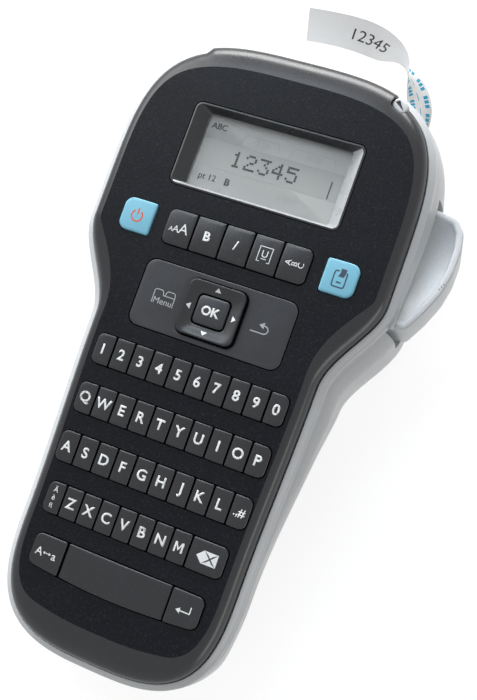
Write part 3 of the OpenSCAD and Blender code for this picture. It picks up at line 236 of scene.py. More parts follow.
class Solid:
    """Gathers rings and faces, in millimetres, into one mesh object in the row frame."""

    def __init__(self, name: str, in_face: bool = True) -> None:
        """Starts an empty piece.

        Args:
            name: The piece's name.
            in_face: Whether its numbers are in the face frame.
        """
        self.name = name
        self.matrix = FACE.matrix() if in_face else Matrix.Identity(4)
        self.points: list[Vector] = []
        self.faces: list[tuple[int, ...]] = []
        self.slots: list[int] = []

    def ring(self, points: Iterable[Sequence[float]]) -> list[int]:
        """Adds points and returns their numbers."""
        start = len(self.points)
        self.points += [Vector(p) for p in points]
        return list(range(start, len(self.points)))

    def face(self, corners: Sequence[int]) -> None:
        """Adds one face."""
        self.faces.append(tuple(corners))
        self.slots.append(0)

    def bridge(self, low: Sequence[int], high: Sequence[int], closed: bool = True) -> None:
        """Joins two rings of equal count by quads."""
        count = len(low)
        for i in range(count if closed else count - 1):
            j = (i + 1) % count
            self.face((low[i], low[j], high[j], high[i]))

    def fan(self, ring: Sequence[int], middle: Sequence[float], up: bool = True) -> None:
        """Closes a ring by triangles round a middle point."""
        hub = self.ring([middle])[0]
        count = len(ring)
        for i in range(count):
            a, b = ring[i], ring[(i + 1) % count]
            self.face((a, b, hub) if up else (b, a, hub))

    def lid(self, ring: Sequence[int], up: bool = True) -> None:
        """Closes a flat ring by one face."""
        self.face(tuple(ring) if up else tuple(reversed(ring)))

    def loft(self, low: Iterable[Sequence[float]], high: Iterable[Sequence[float]]) -> None:
        """Adds a closed solid between two outlines of equal count."""
        a, b = self.ring(low), self.ring(high)
        self.lid(a, False)
        self.bridge(a, b)
        self.lid(b)

    def prism(self, outline: Sequence[Point], low: float, high: float) -> None:
        """Adds a straight solid over a flat outline."""
        self.loft(((x, y, low) for x, y in outline), ((x, y, high) for x, y in outline))

    def edge_ring(self, outline: Sequence[Point], top: Height, edge: float, turn: float,
                  side: int = 1) -> list[int]:
        """One ring of a rounded edge, inside an outline (side 1) or round it (side -1)."""
        a = math.pi / 2 * turn
        drawn = inset(outline, side * edge * (1 - math.cos(a)))
        return self.ring((x, y, top(x, y) - edge * (1 - math.sin(a))) for x, y in drawn)

    def cap(self, outline: Sequence[Point], low: float, top: Height, edge: float = 0.35,
            inner: int = 5) -> None:
        """Adds a key cap: straight sides, a rounded edge and a shaped top.

        Args:
            outline: The cap's outline, anticlockwise.
            low: Where its sides start.
            top: The top's height at a place.
            edge: Radius of the rounded edge.
            inner: How many rings shape the top.
        """
        cx, cy = centre_of(outline)
        last = self.ring((x, y, low) for x, y in outline)
        self.lid(last, False)
        for k in range(4):
            ring = self.edge_ring(outline, top, edge, k / 3)
            self.bridge(last, ring)
            last = ring
        rim = inset(outline, edge)
        for k in range(1, inner + 1):
            t = 1 - k / (inner + 1)
            ring = self.ring((cx + (x - cx) * t, cy + (y - cy) * t,
                              top(cx + (x - cx) * t, cy + (y - cy) * t)) for x, y in rim)
            self.bridge(last, ring)
            last = ring
        self.fan(last, (cx, cy, top(cx, cy)))

    def collar(self, outer: Sequence[Point], hole: Sequence[Point], low: float, top: Height,
               edge: float = 0.35, across: int = 6) -> None:
        """Adds a ring-shaped cap between two outlines of equal count."""
        rings = [self.ring((x, y, low) for x, y in outer)]
        rings += [self.edge_ring(outer, top, edge, k / 3) for k in range(4)]
        start, end = inset(outer, edge), inset(hole, -edge)
        for k in range(1, across):
            t = k / across
            rings.append(self.ring(
                (mix(a[0], b[0], t), mix(a[1], b[1], t),
                 top(mix(a[0], b[0], t), mix(a[1], b[1], t))) for a, b in zip(start, end)))
        rings += [self.edge_ring(hole, top, edge, 1 - k / 3, -1) for k in range(4)]
        rings.append(self.ring((x, y, low) for x, y in hole))
        for a, b in zip(rings, rings[1:] + rings[:1]):
            self.bridge(a, b)

    def ball(self, centre: Sequence[float], r: float, flat: float = 1.0) -> None:
        """Adds a small sphere, flattened along z."""
        rows, count = 8, 16
        last: list[int] = []
        for k in range(1, rows):
            a = math.pi * k / rows - math.pi / 2
            ring = self.ring((centre[0] + r * math.cos(a) * math.cos(2 * math.pi * i / count),
                              centre[1] + r * math.cos(a) * math.sin(2 * math.pi * i / count),
                              centre[2] + r * flat * math.sin(a)) for i in range(count))
            if last:
                self.bridge(last, ring)
            else:
                self.fan(ring, (centre[0], centre[1], centre[2] - r * flat), False)
            last = ring
        self.fan(last, (centre[0], centre[1], centre[2] + r * flat))

    def object(self, materials: Sequence[bpy.types.Material], sharp: float = 32.0
               ) -> bpy.types.Object:
        """Makes the mesh object, smooth except over sharp angles.

        Args:
            materials: One material for each slot number used.
            sharp: Angle in degrees above which an edge stays sharp.

        Returns:
            The linked object.
        """
        mesh = bpy.data.meshes.new(self.name)
        mesh.from_pydata([self.matrix @ (p * MM) for p in self.points], [], self.faces)
        for polygon, slot in zip(mesh.polygons, self.slots):
            polygon.material_index = slot
        mesh.update()
        body = bpy.data.objects.new(self.name, mesh)
        bpy.context.scene.collection.objects.link(body)
        for material in materials:
            mesh.materials.append(material)
        finish_shading(body, sharp)
        return body


def finish_shading(body: bpy.types.Object, sharp: float = 32.0) -> None:
    """Turns faces outward, shades them smooth and keeps sharp edges."""
    work = bmesh.new()
    work.from_mesh(body.data)
    bmesh.ops.recalc_face_normals(work, faces=work.faces)
    work.to_mesh(body.data)
    work.free()
    made = body.data.attributes.get("custom_normal")
    if made:
        body.data.attributes.remove(made)
    body.data.shade_smooth()
    body.data.set_sharp_from_angle(angle=math.radians(sharp))


def settle(body: bpy.types.Object) -> None:
    """Applies a piece's modifiers to its mesh."""
    bpy.context.view_layer.update()
    graph = bpy.context.evaluated_depsgraph_get()
    mesh = bpy.data.meshes.new_from_object(body.evaluated_get(graph), depsgraph=graph)
    body.modifiers.clear()
    body.data = mesh


def carve(body: bpy.types.Object, tool: bpy.types.Object, add: bool = False) -> None:
    """Cuts a tool out of a piece, or adds it, and removes the tool."""
    step = body.modifiers.new("shape", "BOOLEAN")
    step.operation = "UNION" if add else "DIFFERENCE"
    step.solver = "EXACT"
    step.use_self = True
    step.object = tool
    settle(body)
    bpy.data.objects.remove(tool)


def soften(body: bpy.types.Object, width: float, angle: float = 55.0, segments: int = 2) -> None:
    """Rounds a piece's edges over an angle, by a width in millimetres."""
    step = body.modifiers.new("edges", "BEVEL")
    step.width = width * MM
    step.segments = segments
    step.limit_method = "ANGLE"
    step.angle_limit = math.radians(angle)
    step.use_clamp_overlap = True
    settle(body)


@dataclass(frozen=True)
class Span:
    """A rectangle on the face, in millimetres."""

    x0: float
    x1: float
    y0: float
    y1: float

    @property
    def middle(self) -> Point:
        """Its middle."""
        return (self.x0 + self.x1) / 2, (self.y0 + self.y1) / 2

    @property
    def size(self) -> Point:
        """Its width and length."""
        return self.x1 - self.x0, self.y1 - self.y0


def spans(node: str, above: float = -2.4) -> list[Span]:
    """The boxes of a CAD node's separate solids, taken from their upper parts.

    Args:
        node: The CAD node.
        above: Face height under which points are left out, such as hidden flanges.

    Returns:
        One box a solid, from left to right.
    """
    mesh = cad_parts[node].data
    places = [FACE.local(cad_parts[node].matrix_world @ v.co) for v in mesh.vertices]
    root: dict[Triple, Triple] = {}

    def find(key: Triple) -> Triple:
        """The corner that stands for a corner's whole solid."""
        while root.setdefault(key, key) != key:
            key = root[key]
        return key

    keys = [(round(p.x, 3), round(p.y, 3), round(p.z, 3)) for p in places]
    for edge in mesh.edges:
        a, b = find(keys[edge.vertices[0]]), find(keys[edge.vertices[1]])
        if a != b:
            root[b] = a
    groups: dict[Triple, list[Vector]] = {}
    for key, place in zip(keys, places):
        if place.z > above:
            groups.setdefault(find(key), []).append(place)
    found = [Span(min(p.x for p in g), max(p.x for p in g), min(p.y for p in g),
                  max(p.y for p in g)) for g in groups.values()]
    return sorted(found, key=lambda s: s.x0)


# ---- materials ------------------------------------------------------------------------------


def tone(red: float, green: float, blue: float) -> Colour:
    """A colour stated in display values from 0 to 255, as linear values."""
    def linear(value: float) -> float:
        """One display value, as a linear value."""
        share = value / 255
        return share / 12.92 if share <= 0.04045 else ((share + 0.055) / 1.055) ** 2.4
    return linear(red), linear(green), linear(blue)


class Surface(Enum):
    """How a surface was made, which sets the character of its relief."""

    MOULDED = "moulded"
    SATIN = "satin"
    BRUSHED = "brushed"
    PAPER = "paper"
    RUBBER = "rubber"


@dataclass(frozen=True)
class Finish:
    """One surface finish.

    Attributes:
        name: Material name.
        colour: Linear base colour.
        roughness: Mean roughness.
        metallic: Metallic share.
        surface: Character of the relief.
        grain: Depth of the fine relief in millimetres.
        grain_size: Size of the relief's grains in millimetres.
        drift: Share by which the colour wanders over the piece.
        speckle: Share by which single grains are lighter or darker.
        edge: Lightening of worn edges.
        edge_width: Reach of that wear in millimetres.
        smudge: Share by which handling changes the roughness.
        coat: Coat weight.
        specular: Specular level.
        alpha: Opacity.
        dust: Share of dust on what faces up.
    """

    name: str
    colour: Colour
    roughness: float = 0.45
    metallic: float = 0.0
    surface: Surface = Surface.SATIN
    grain: float = 0.01
    grain_size: float = 0.3
    drift: float = 0.06
    speckle: float = 0.05
    edge: float = 0.1
    edge_width: float = 0.25
    smudge: float = 0.12
    coat: float = 0.0
    specular: float = 0.5
    alpha: float = 1.0
    dust: float = 0.03


class Graph:
    """Adds nodes to one node tree."""

    def __init__(self, tree: bpy.types.NodeTree) -> None:
        """Wraps a tree."""
        self.tree = tree

    def add(self, kind: str, *links: tuple[int | str, object], **settings: object
            ) -> bpy.types.Node:
        """Adds a node, sets its properties and feeds its inputs.

        Args:
            kind: The node's type name.
            links: Pairs of input and what feeds it: an output socket or a plain value.
            settings: Properties of the node.

        Returns:
            The node.
        """
        node = self.tree.nodes.new(kind)
        for key, value in settings.items():
            setattr(node, key, value)
        for key, value in links:
            if isinstance(value, bpy.types.NodeSocket):
                self.tree.links.new(value, node.inputs[key])
            else:
                node.inputs[key].default_value = value
        return node

    def math(self, operation: str, a: object, b: object = 0.0, clamp: bool = False
             ) -> bpy.types.NodeSocket:
        """The output of one arithmetic node."""
        node = self.add("ShaderNodeMath", (0, a), (1, b), operation=operation, use_clamp=clamp)
        return node.outputs[0]

    def ramp(self, value: object, low: float, high: float, to_low: float = 0.0,
             to_high: float = 1.0) -> bpy.types.NodeSocket:
        """A value mapped from one range to another and held inside it."""
        node = self.add("ShaderNodeMapRange", ("Value", value), ("From Min", low),
                        ("From Max", high), ("To Min", to_low), ("To Max", to_high))
        return node.outputs[0]

    def vary(self, mask: object, share: float, colour: object) -> bpy.types.NodeSocket:
        """A colour made lighter and darker by a share, as a mask says."""
        value = self.ramp(mask, 0.3, 0.7, 1 - share, 1 + share)
        node = self.add("ShaderNodeHueSaturation", ("Value", value), ("Color", colour))
        return node.outputs[0]

    def noise(self, vector: object, scale: object, detail: float = 2.0, rough: float = 0.5
              ) -> bpy.types.NodeSocket:
        """The value of one noise texture."""
        node = self.add("ShaderNodeTexNoise", ("Vector", vector), ("Scale", scale),
                        ("Detail", detail), ("Roughness", rough))
        return node.outputs[0]


def new_group(name: str, inputs: Sequence[tuple[str, str, float]],
              outputs: Sequence[tuple[str, str]]
              ) -> tuple[Graph, bpy.types.Node, bpy.types.Node]:
    """Starts a shared node group.

    Args:
        name: The group's name.
        inputs: Name, socket type and default of each input.
        outputs: Name and socket type of each output.

    Returns:
        The group's graph, its input node and its output node.
    """
    tree = bpy.data.node_groups.new(name, "ShaderNodeTree")
    for label, kind, default in inputs:
        socket = tree.interface.new_socket(label, in_out="INPUT", socket_type=kind)
        if kind == "NodeSocketFloat":
            socket.default_value = default
    for label, kind in outputs:
        tree.interface.new_socket(label, in_out="OUTPUT", socket_type=kind)
    graph = Graph(tree)
    return graph, graph.add("NodeGroupInput"), graph.add("NodeGroupOutput")


FLOAT = "NodeSocketFloat"
VECTOR = "NodeSocketVector"


def relief_group(surface: Surface) -> bpy.types.NodeTree:
    """The shared relief of one kind of surface: its height and its grains.

    Args:
        surface: The surface's character.

    Returns:
        A group with the outputs Height and Grains, both from 0 to 1.
    """
    graph, given, result = new_group(
        f"relief_{surface.value}", [("Vector", VECTOR, 0.0), ("Size", FLOAT, 0.3)],
        [("Height", FLOAT), ("Grains", FLOAT)])
    vector = given.outputs["Vector"]
    scale = graph.math("DIVIDE", 1.0 / MM, given.outputs["Size"])
    if surface is Surface.BRUSHED:
        stretched = graph.add("ShaderNodeVectorMath", (0, vector), (1, (0.04, 1.0, 1.0)),
                              operation="MULTIPLY")
        height = graph.noise(stretched.outputs[0], scale, 4.0, 0.7)
        grains = graph.noise(stretched.outputs[0], graph.math("MULTIPLY", scale, 0.4), 2.0)
    elif surface is Surface.PAPER:
        fibres = graph.add("ShaderNodeTexVoronoi", ("Vector", vector), ("Scale", scale),
                           feature="SMOOTH_F1")
        height = graph.math("ADD", fibres.outputs[0],
                            graph.noise(vector, graph.math("MULTIPLY", scale, 0.5), 5.0, 0.7))
        grains = graph.noise(vector, graph.math("MULTIPLY", scale, 0.3), 4.0, 0.65)
    elif surface is Surface.MOULDED:
        cells = graph.add("ShaderNodeTexVoronoi", ("Vector", vector), ("Scale", scale),
                          feature="SMOOTH_F1")
        fine = graph.noise(vector, graph.math("MULTIPLY", scale, 1.7), 3.0, 0.6)
        height = graph.math("ADD", graph.math("MULTIPLY", cells.outputs[0], 0.6),
                            graph.math("MULTIPLY", fine, 0.6))
        grains = graph.noise(vector, graph.math("MULTIPLY", scale, 0.55), 3.0, 0.65)
    else:
        height = graph.noise(vector, scale, 3.0, 0.55)
        grains = graph.noise(vector, graph.math("MULTIPLY", scale, 0.35), 2.0, 0.6)
    graph.tree.links.new(height, result.inputs["Height"])
    graph.tree.links.new(grains, result.inputs["Grains"])
    return graph.tree


def handling_group() -> bpy.types.NodeTree:
    """The shared marks of use: slow drift, smudges, scuffs, worn edges and settled dust."""
    graph, given, result = new_group(
        "handling", [("Vector", VECTOR, 0.0), ("Edge Width", FLOAT, 0.25)],
        [("Drift", FLOAT), ("Smudge", FLOAT), ("Wear", FLOAT), ("Dust", FLOAT)])
    vector = given.outputs["Vector"]
    drift = graph.noise(vector, 24.0, 2.0)
    smudge = graph.ramp(graph.noise(vector, 62.0, 5.0, 0.62), 0.36, 0.68)
    round_edge = graph.add(
        "ShaderNodeBevel", ("Radius", graph.math("MULTIPLY", given.outputs["Edge Width"], MM)),
        samples=4)
    geometry = graph.add("ShaderNodeNewGeometry")
    bend = graph.add("ShaderNodeVectorMath", (0, round_edge.outputs[0]),
                     (1, geometry.outputs["Normal"]), operation="DOT_PRODUCT")
    turned = graph.ramp(bend.outputs["Value"], 0.995, 0.86)
    broken = graph.ramp(graph.noise(vector, 900.0, 3.0, 0.7), 0.38, 0.62, 0.35, 1.0)
    wear = graph.math("MULTIPLY", turned, broken)
    upward = graph.add("ShaderNodeSeparateXYZ", (0, geometry.outputs["Normal"]))
    specks = graph.ramp(graph.noise(vector, 1500.0, 2.0, 0.75), 0.56, 0.74)
    dust = graph.math("MULTIPLY", graph.ramp(upward.outputs["Z"], 0.55, 0.95), specks)
    for label, value in (("Drift", drift), ("Smudge", smudge), ("Wear", wear), ("Dust", dust)):
        graph.tree.links.new(value, result.inputs[label])
    return graph.tree


class Workshop:
    """Makes materials from finishes, with node groups that they share."""

    def __init__(self) -> None:
        """Builds the shared groups."""
        self.relief = {surface: relief_group(surface) for surface in Surface}
        self.handling = handling_group()
        self.made: dict[str, bpy.types.Material] = {}

    def material(self, finish: Finish) -> bpy.types.Material:
        """The material of a finish, made once.

        Args:
            finish: The finish.

        Returns:
            Its material.
        """
        if finish.name in self.made:
            return self.made[finish.name]
        material = bpy.data.materials.new(finish.name)
        material.use_nodes = True
        graph = Graph(material.node_tree)
        shader = material.node_tree.nodes["Principled BSDF"]
        place = graph.add("ShaderNodeTexCoord").outputs["Object"]
        relief = graph.add("ShaderNodeGroup", node_tree=self.relief[finish.surface])
        graph.tree.links.new(place, relief.inputs["Vector"])
        relief.inputs["Size"].default_value = finish.grain_size
        marks = graph.add("ShaderNodeGroup", node_tree=self.handling)
        graph.tree.links.new(place, marks.inputs["Vector"])
        marks.inputs["Edge Width"].default_value = finish.edge_width
        base = (*finish.colour, 1.0)
        light = tuple(mix(c, 1.0, 0.28) for c in finish.colour)
        drifted = graph.vary(marks.outputs["Drift"], finish.drift, base)
        grained = graph.vary(relief.outputs["Grains"], finish.speckle, drifted)
        worn = graph.add("ShaderNodeMix",
                         ("Factor", graph.math("MULTIPLY", marks.outputs["Wear"], finish.edge)),
                         (6, grained), (7, (*light, 1.0)), data_type="RGBA")
        dusty = graph.add("ShaderNodeMix",
                          ("Factor", graph.math("MULTIPLY", marks.outputs["Dust"], finish.dust)),
                          (6, worn.outputs[2]), (7, (0.6, 0.58, 0.55, 1.0)), data_type="RGBA")
        graph.tree.links.new(dusty.outputs[2], shader.inputs["Base Color"])
        rough = graph.math("MULTIPLY_ADD", marks.outputs["Smudge"], finish.smudge)
        rough.node.inputs[2].default_value = finish.roughness - finish.smudge / 2
        held = graph.math("ADD", rough, graph.math(
            "MULTIPLY", marks.outputs["Dust"], finish.dust * 0.5), clamp=True)
        graph.tree.links.new(held, shader.inputs["Roughness"])
        bump = graph.add("ShaderNodeBump", ("Strength", 1.0),
                         ("Distance", finish.grain * MM), ("Height", relief.outputs["Height"]))
        graph.tree.links.new(bump.outputs[0], shader.inputs["Normal"])
        shader.inputs["Metallic"].default_value = finish.metallic
        shader.inputs["Coat Weight"].default_value = finish.coat
        shader.inputs["Coat Roughness"].default_value = 0.2
        shader.inputs["Specular IOR Level"].default_value = finish.specular
        shader.inputs["Alpha"].default_value = finish.alpha
        self.made[finish.name] = material
        return material


FACE_BLACK = Finish("cover_face", tone(10, 13, 20), 0.4, surface=Surface.MOULDED, grain=0.045,
                    grain_size=0.5, speckle=0.6, drift=0.05, edge=0.12, specular=0.15,
                    dust=0.04)
# BAND_BLACK also lies on the display bezel's upper and left inner walls as painted shade.
BAND_BLACK = Finish("cover_band", tone(12, 15, 21), 0.28, surface=Surface.MOULDED, grain=0.012,
                    grain_size=0.4, speckle=0.1, drift=0.03, edge=0.06, specular=0.55,
                    smudge=0.03)
CASE_SILVER = Finish("case_silver", tone(212, 215, 217), 0.34, grain=0.006, grain_size=0.22,
                     speckle=0.03, drift=0.02, edge=0.05, coat=0.12)
LEVER_SILVER = Finish("lever_silver", tone(226, 230, 233), 0.36, grain=0.005,
                      grain_size=0.25, speckle=0.04, drift=0.03, edge=0.2, coat=0.2)
KEY_DARK = Finish("key_dark", tone(21, 23, 28), 0.3, grain=0.008, grain_size=0.28,
                  speckle=0.06, edge=0.16, edge_width=0.3, smudge=0.16)
NAV_DARK = Finish("nav_dark", tone(33, 36, 42), 0.36, grain=0.008, grain_size=0.28,
                  speckle=0.06, edge=0.14, smudge=0.16)
KEY_BLUE = Finish("key_blue", tone(126, 192, 216), 0.4, grain=0.006, grain_size=0.25,
                  speckle=0.02, drift=0.03)
LEGEND_WHITE = Finish("legend_white", tone(238, 240, 240), 0.55, grain=0.003, speckle=0.03,
                      drift=0.02, edge=0.0, dust=0.0, surface=Surface.RUBBER)
LEGEND_GREY = replace(LEGEND_WHITE, name="legend_grey", colour=tone(176, 178, 180))
LEGEND_RED = replace(LEGEND_WHITE, name="legend_red", colour=tone(226, 96, 62), roughness=0.5)
LEGEND_NAVY = replace(LEGEND_RED, name="legend_navy", colour=tone(48, 62, 80))
# On the display bezel, BEZEL's silver lies only on the lower and right inner walls, as a painted
# reflection of the light.
BEZEL = Finish("bezel_satin", tone(178, 181, 183), 0.32, metallic=0.15, grain=0.006,
               grain_size=0.25, drift=0.05)
GLASS = Finish("window_clear", tone(235, 240, 238), 0.05, grain=0.0005, grain_size=2.0,
               speckle=0.0, drift=0.01, edge=0.0, smudge=0.06, alpha=0.05, coat=0.2)
LCD_GROUND = Finish("lcd_ground", tone(194, 196, 195), 0.5, grain=0.002, grain_size=0.5,
                    speckle=0.02, drift=0.03, edge=0.0)
LCD_BAND = Finish("lcd_band", tone(168, 171, 170), 0.5, grain=0.002, speckle=0.02, edge=0.0)
LCD_GHOST = replace(LCD_BAND, name="lcd_ghost", colour=tone(176, 178, 178))
LCD_INK = Finish("lcd_ink", tone(14, 15, 20), 0.5, grain=0.002, speckle=0.05, edge=0.0)
PAPER = Finish("label_paper", tone(252, 251, 250), 0.55, surface=Surface.PAPER, grain=0.012,
               grain_size=0.3, speckle=0.02, drift=0.02, edge=0.0, coat=0.05)
INK = Finish("label_ink", tone(30, 30, 34), 0.5, grain=0.002, speckle=0.08, edge=0.0)
LINER_BLUE = Finish("liner_blue", tone(20, 165, 205), 0.5, grain=0.002, speckle=0.05,
                    edge=0.0)
MAT_RUBBER = Finish("mat_rubber", tone(126, 128, 132), 0.7, surface=Surface.RUBBER,
                    grain=0.01, grain_size=0.4, edge=0.05)
BOARD = Finish("board_green", tone(30, 92, 62), 0.4, grain=0.01, grain_size=0.6, drift=0.1,
               coat=0.25, edge=0.15)
STEEL = Finish("steel", tone(176, 178, 180), 0.3, metallic=1.0, surface=Surface.BRUSHED,
               grain=0.003, grain_size=0.2, edge=0.25)
BLACK_PLASTIC = Finish("black_plastic", tone(34, 34, 36), 0.42, surface=Surface.MOULDED,
                       grain=0.01, grain_size=0.3)
CELL = Finish("cell_wrap", tone(60, 62, 68), 0.28, coat=0.4, grain=0.002, drift=0.06)
BRASS = Finish("plated_brass", tone(196, 176, 128), 0.3, metallic=1.0,
               surface=Surface.BRUSHED, grain=0.003, grain_size=0.2)
GEAR = Finish("gear_white", tone(228, 226, 218), 0.45, grain=0.005, grain_size=0.25)
ROLLER = Finish("roller_rubber", tone(44, 44, 46), 0.75, surface=Surface.RUBBER, grain=0.01,
                grain_size=0.25)
RIBBON = Finish("ribbon_black", tone(28, 28, 32), 0.3, coat=0.2, grain=0.002)
CASSETTE = Finish("cassette_smoke", tone(120, 122, 126), 0.3, grain=0.004, coat=0.2)
CERAMIC = Finish("ceramic", tone(236, 232, 222), 0.4, grain=0.003, grain_size=0.15)
ALUMINIUM = Finish("aluminium", tone(196, 198, 200), 0.38, metallic=1.0,
                   surface=Surface.BRUSHED, grain=0.004, grain_size=0.2)
CARRIER = Finish("carrier_grey", tone(92, 94, 98), 0.45, surface=Surface.MOULDED,
                 grain=0.008)
FLOOR = Finish("floor_white", tone(130, 130, 130), 0.7, grain=0.01, grain_size=4.0, drift=0.0,
               speckle=0.0, edge=0.0, smudge=0.02, dust=0.0, specular=0.2)

SLOT_FINISHES = {
    "charcoal": FACE_BLACK, "silver": CASE_SILVER, "bezel": BEZEL, "window": GLASS,
    "lcd": LCD_GROUND, "key": KEY_DARK, "blue_key": KEY_BLUE, "mat": MAT_RUBBER,
    "board": BOARD, "steel": STEEL, "black_plastic": BLACK_PLASTIC, "cell": CELL,
    "brass": BRASS, "gear": GEAR, "roller": ROLLER, "ribbon": RIBBON, "label": PAPER,
    "cassette": CASSETTE, "ceramic": CERAMIC, "aluminium": ALUMINIUM,
    "lever": LEVER_SILVER, "carrier": CARRIER}


# ---- the case's values ----------------------------------------------------------------------

KEY_DEPTH = 3.4
COVER_DROP = 1.0
COVER_PLATE = 2.2
PARTING = 9.0
WALL = 2.0
RIM_W = 2.2
SLOT_GAP = 0.35
SEAM = 0.35
SCREW_SPOTS = ((-44.6, 76.0, 4.6), (-33.4, 3.1, 4.4), (33.4, 3.1, 4.4), (30.0, -29.62, 2.6),
               (-30.0, -29.62, 2.6))
BOARD_SPOTS = ((-24.0, 30.3), (24.0, 30.3), (-24.0, -81.0), (24.0, -81.0))
BOSS_SPLIT = PARTING + 3
BOSS_R = 2.3
BOARD_POST_R = 1.9
BOARD_POST_END = 7.75
KEY_BASE = -KEY_DEPTH - 0.8
LEVER_PIVOT = (50.2, -19.5)
LEVER_LOW = 20.5
LEVER_TALL = 15.5
OUTLINE = CaseOutline()


def between(rows: Sequence[Sequence[float]], steps: int) -> list[tuple[float, ...]]:
    """Rows of control values joined by smooth curves, with steps between each two."""
    found: list[tuple[float, ...]] = []
    last = len(rows) - 1
    for k in range(last):
        a, b = rows[max(0, k - 1)], rows[k]
        c, d = rows[k + 1], rows[min(last, k + 2)]
        for i in range(steps):
            t = i / steps
            found.append(tuple(
                0.5 * (2 * q + (r - p) * t + (2 * p - 5 * q + 4 * r - s) * t * t
                       + (3 * q - p - 3 * r + s) * t ** 3)
                for p, q, r, s in zip(a, b, c, d)))
    return found + [tuple(rows[last])]


def strips(solid: Solid, ring: Sequence[int], up: bool) -> None:
    """Closes a mirrored ring by strips that join each point to its mirror image."""
    count = len(ring)
    half = count // 2
    for i in range(half):
        a, b = ring[i], ring[i + 1]
        c, d = ring[(count - i - 1) % count], ring[(count - i) % count]
        corners = (a, b, c) if i == 0 else (a, b, d) if i == half - 1 else (a, b, c, d)
        solid.face(corners if up else tuple(reversed(corners)))


def disc(x: float, y: float, r: float, count: int = 32) -> list[Point]:
    """A circle's outline."""
    return [(x + r * math.cos(2 * math.pi * i / count), y + r * math.sin(2 * math.pi * i / count))
            for i in range(count)]


def block(solid: Solid, low: Sequence[float], high: Sequence[float]) -> None:
    """Adds a box between two corners."""
    solid.prism([(low[0], low[1]), (high[0], low[1]), (high[0], high[1]), (low[0], high[1])],
                low[2], high[2])


def rod_x(solid: Solid, x0: float, x1: float, y: float, z: float, r: float,
          count: int = 24) -> None:
    """Adds a round bar along x."""
    solid.loft(*([(x, y + r * math.cos(2 * math.pi * i / count),
                   z + r * math.sin(2 * math.pi * i / count)) for i in range(count)]
                 for x in (x0, x1)))


def column(solid: Solid, x: float, y: float, r: float, low: float, high: float,
           count: int = 32) -> None:
    """Adds a round bar square to the face, to a solid that is in the row frame."""
    solid.loft(*([FACE.world(a, b, z) / MM for a, b in disc(x, y, r, count)]
                 for z in (low, high)))


def flat_face(body: bpy.types.Object) -> None:
    """Keeps the edges round a piece's faces of its first material sharp."""
    work = bmesh.new()
    work.from_mesh(body.data)
    for edge in work.edges:
        if len({f.material_index for f in edge.link_faces}) > 1:
            edge.smooth = False
    work.to_mesh(body.data)
    work.free()


def ear_points(points: Sequence[Point]) -> list[Point]:
    """Points placed where the cover's tongue ends: x clockwise along the rim, y outward."""
    i = next(k for k, (x, y) in enumerate(OUTLINE.points)
             if y > OUTLINE.head_start and 0 < x < OUTLINE.tongue_half + 3.0)
    (x, y), (nx, ny) = OUTLINE.points[i], OUTLINE.normals[i]
    return [(x + a * ny + b * nx, y - a * nx + b * ny) for a, b in points]


def ear_plan(grow: float) -> list[Point]:
    """The notch beside the tongue, grown by a gap."""
    return ear_points(rounded(6.0 + 2 * grow, 4.4 + 2 * grow, [2.1 + grow] * 4, 8, y=-3.2))


# ---- the front cover ------------------------------------------------------------------------


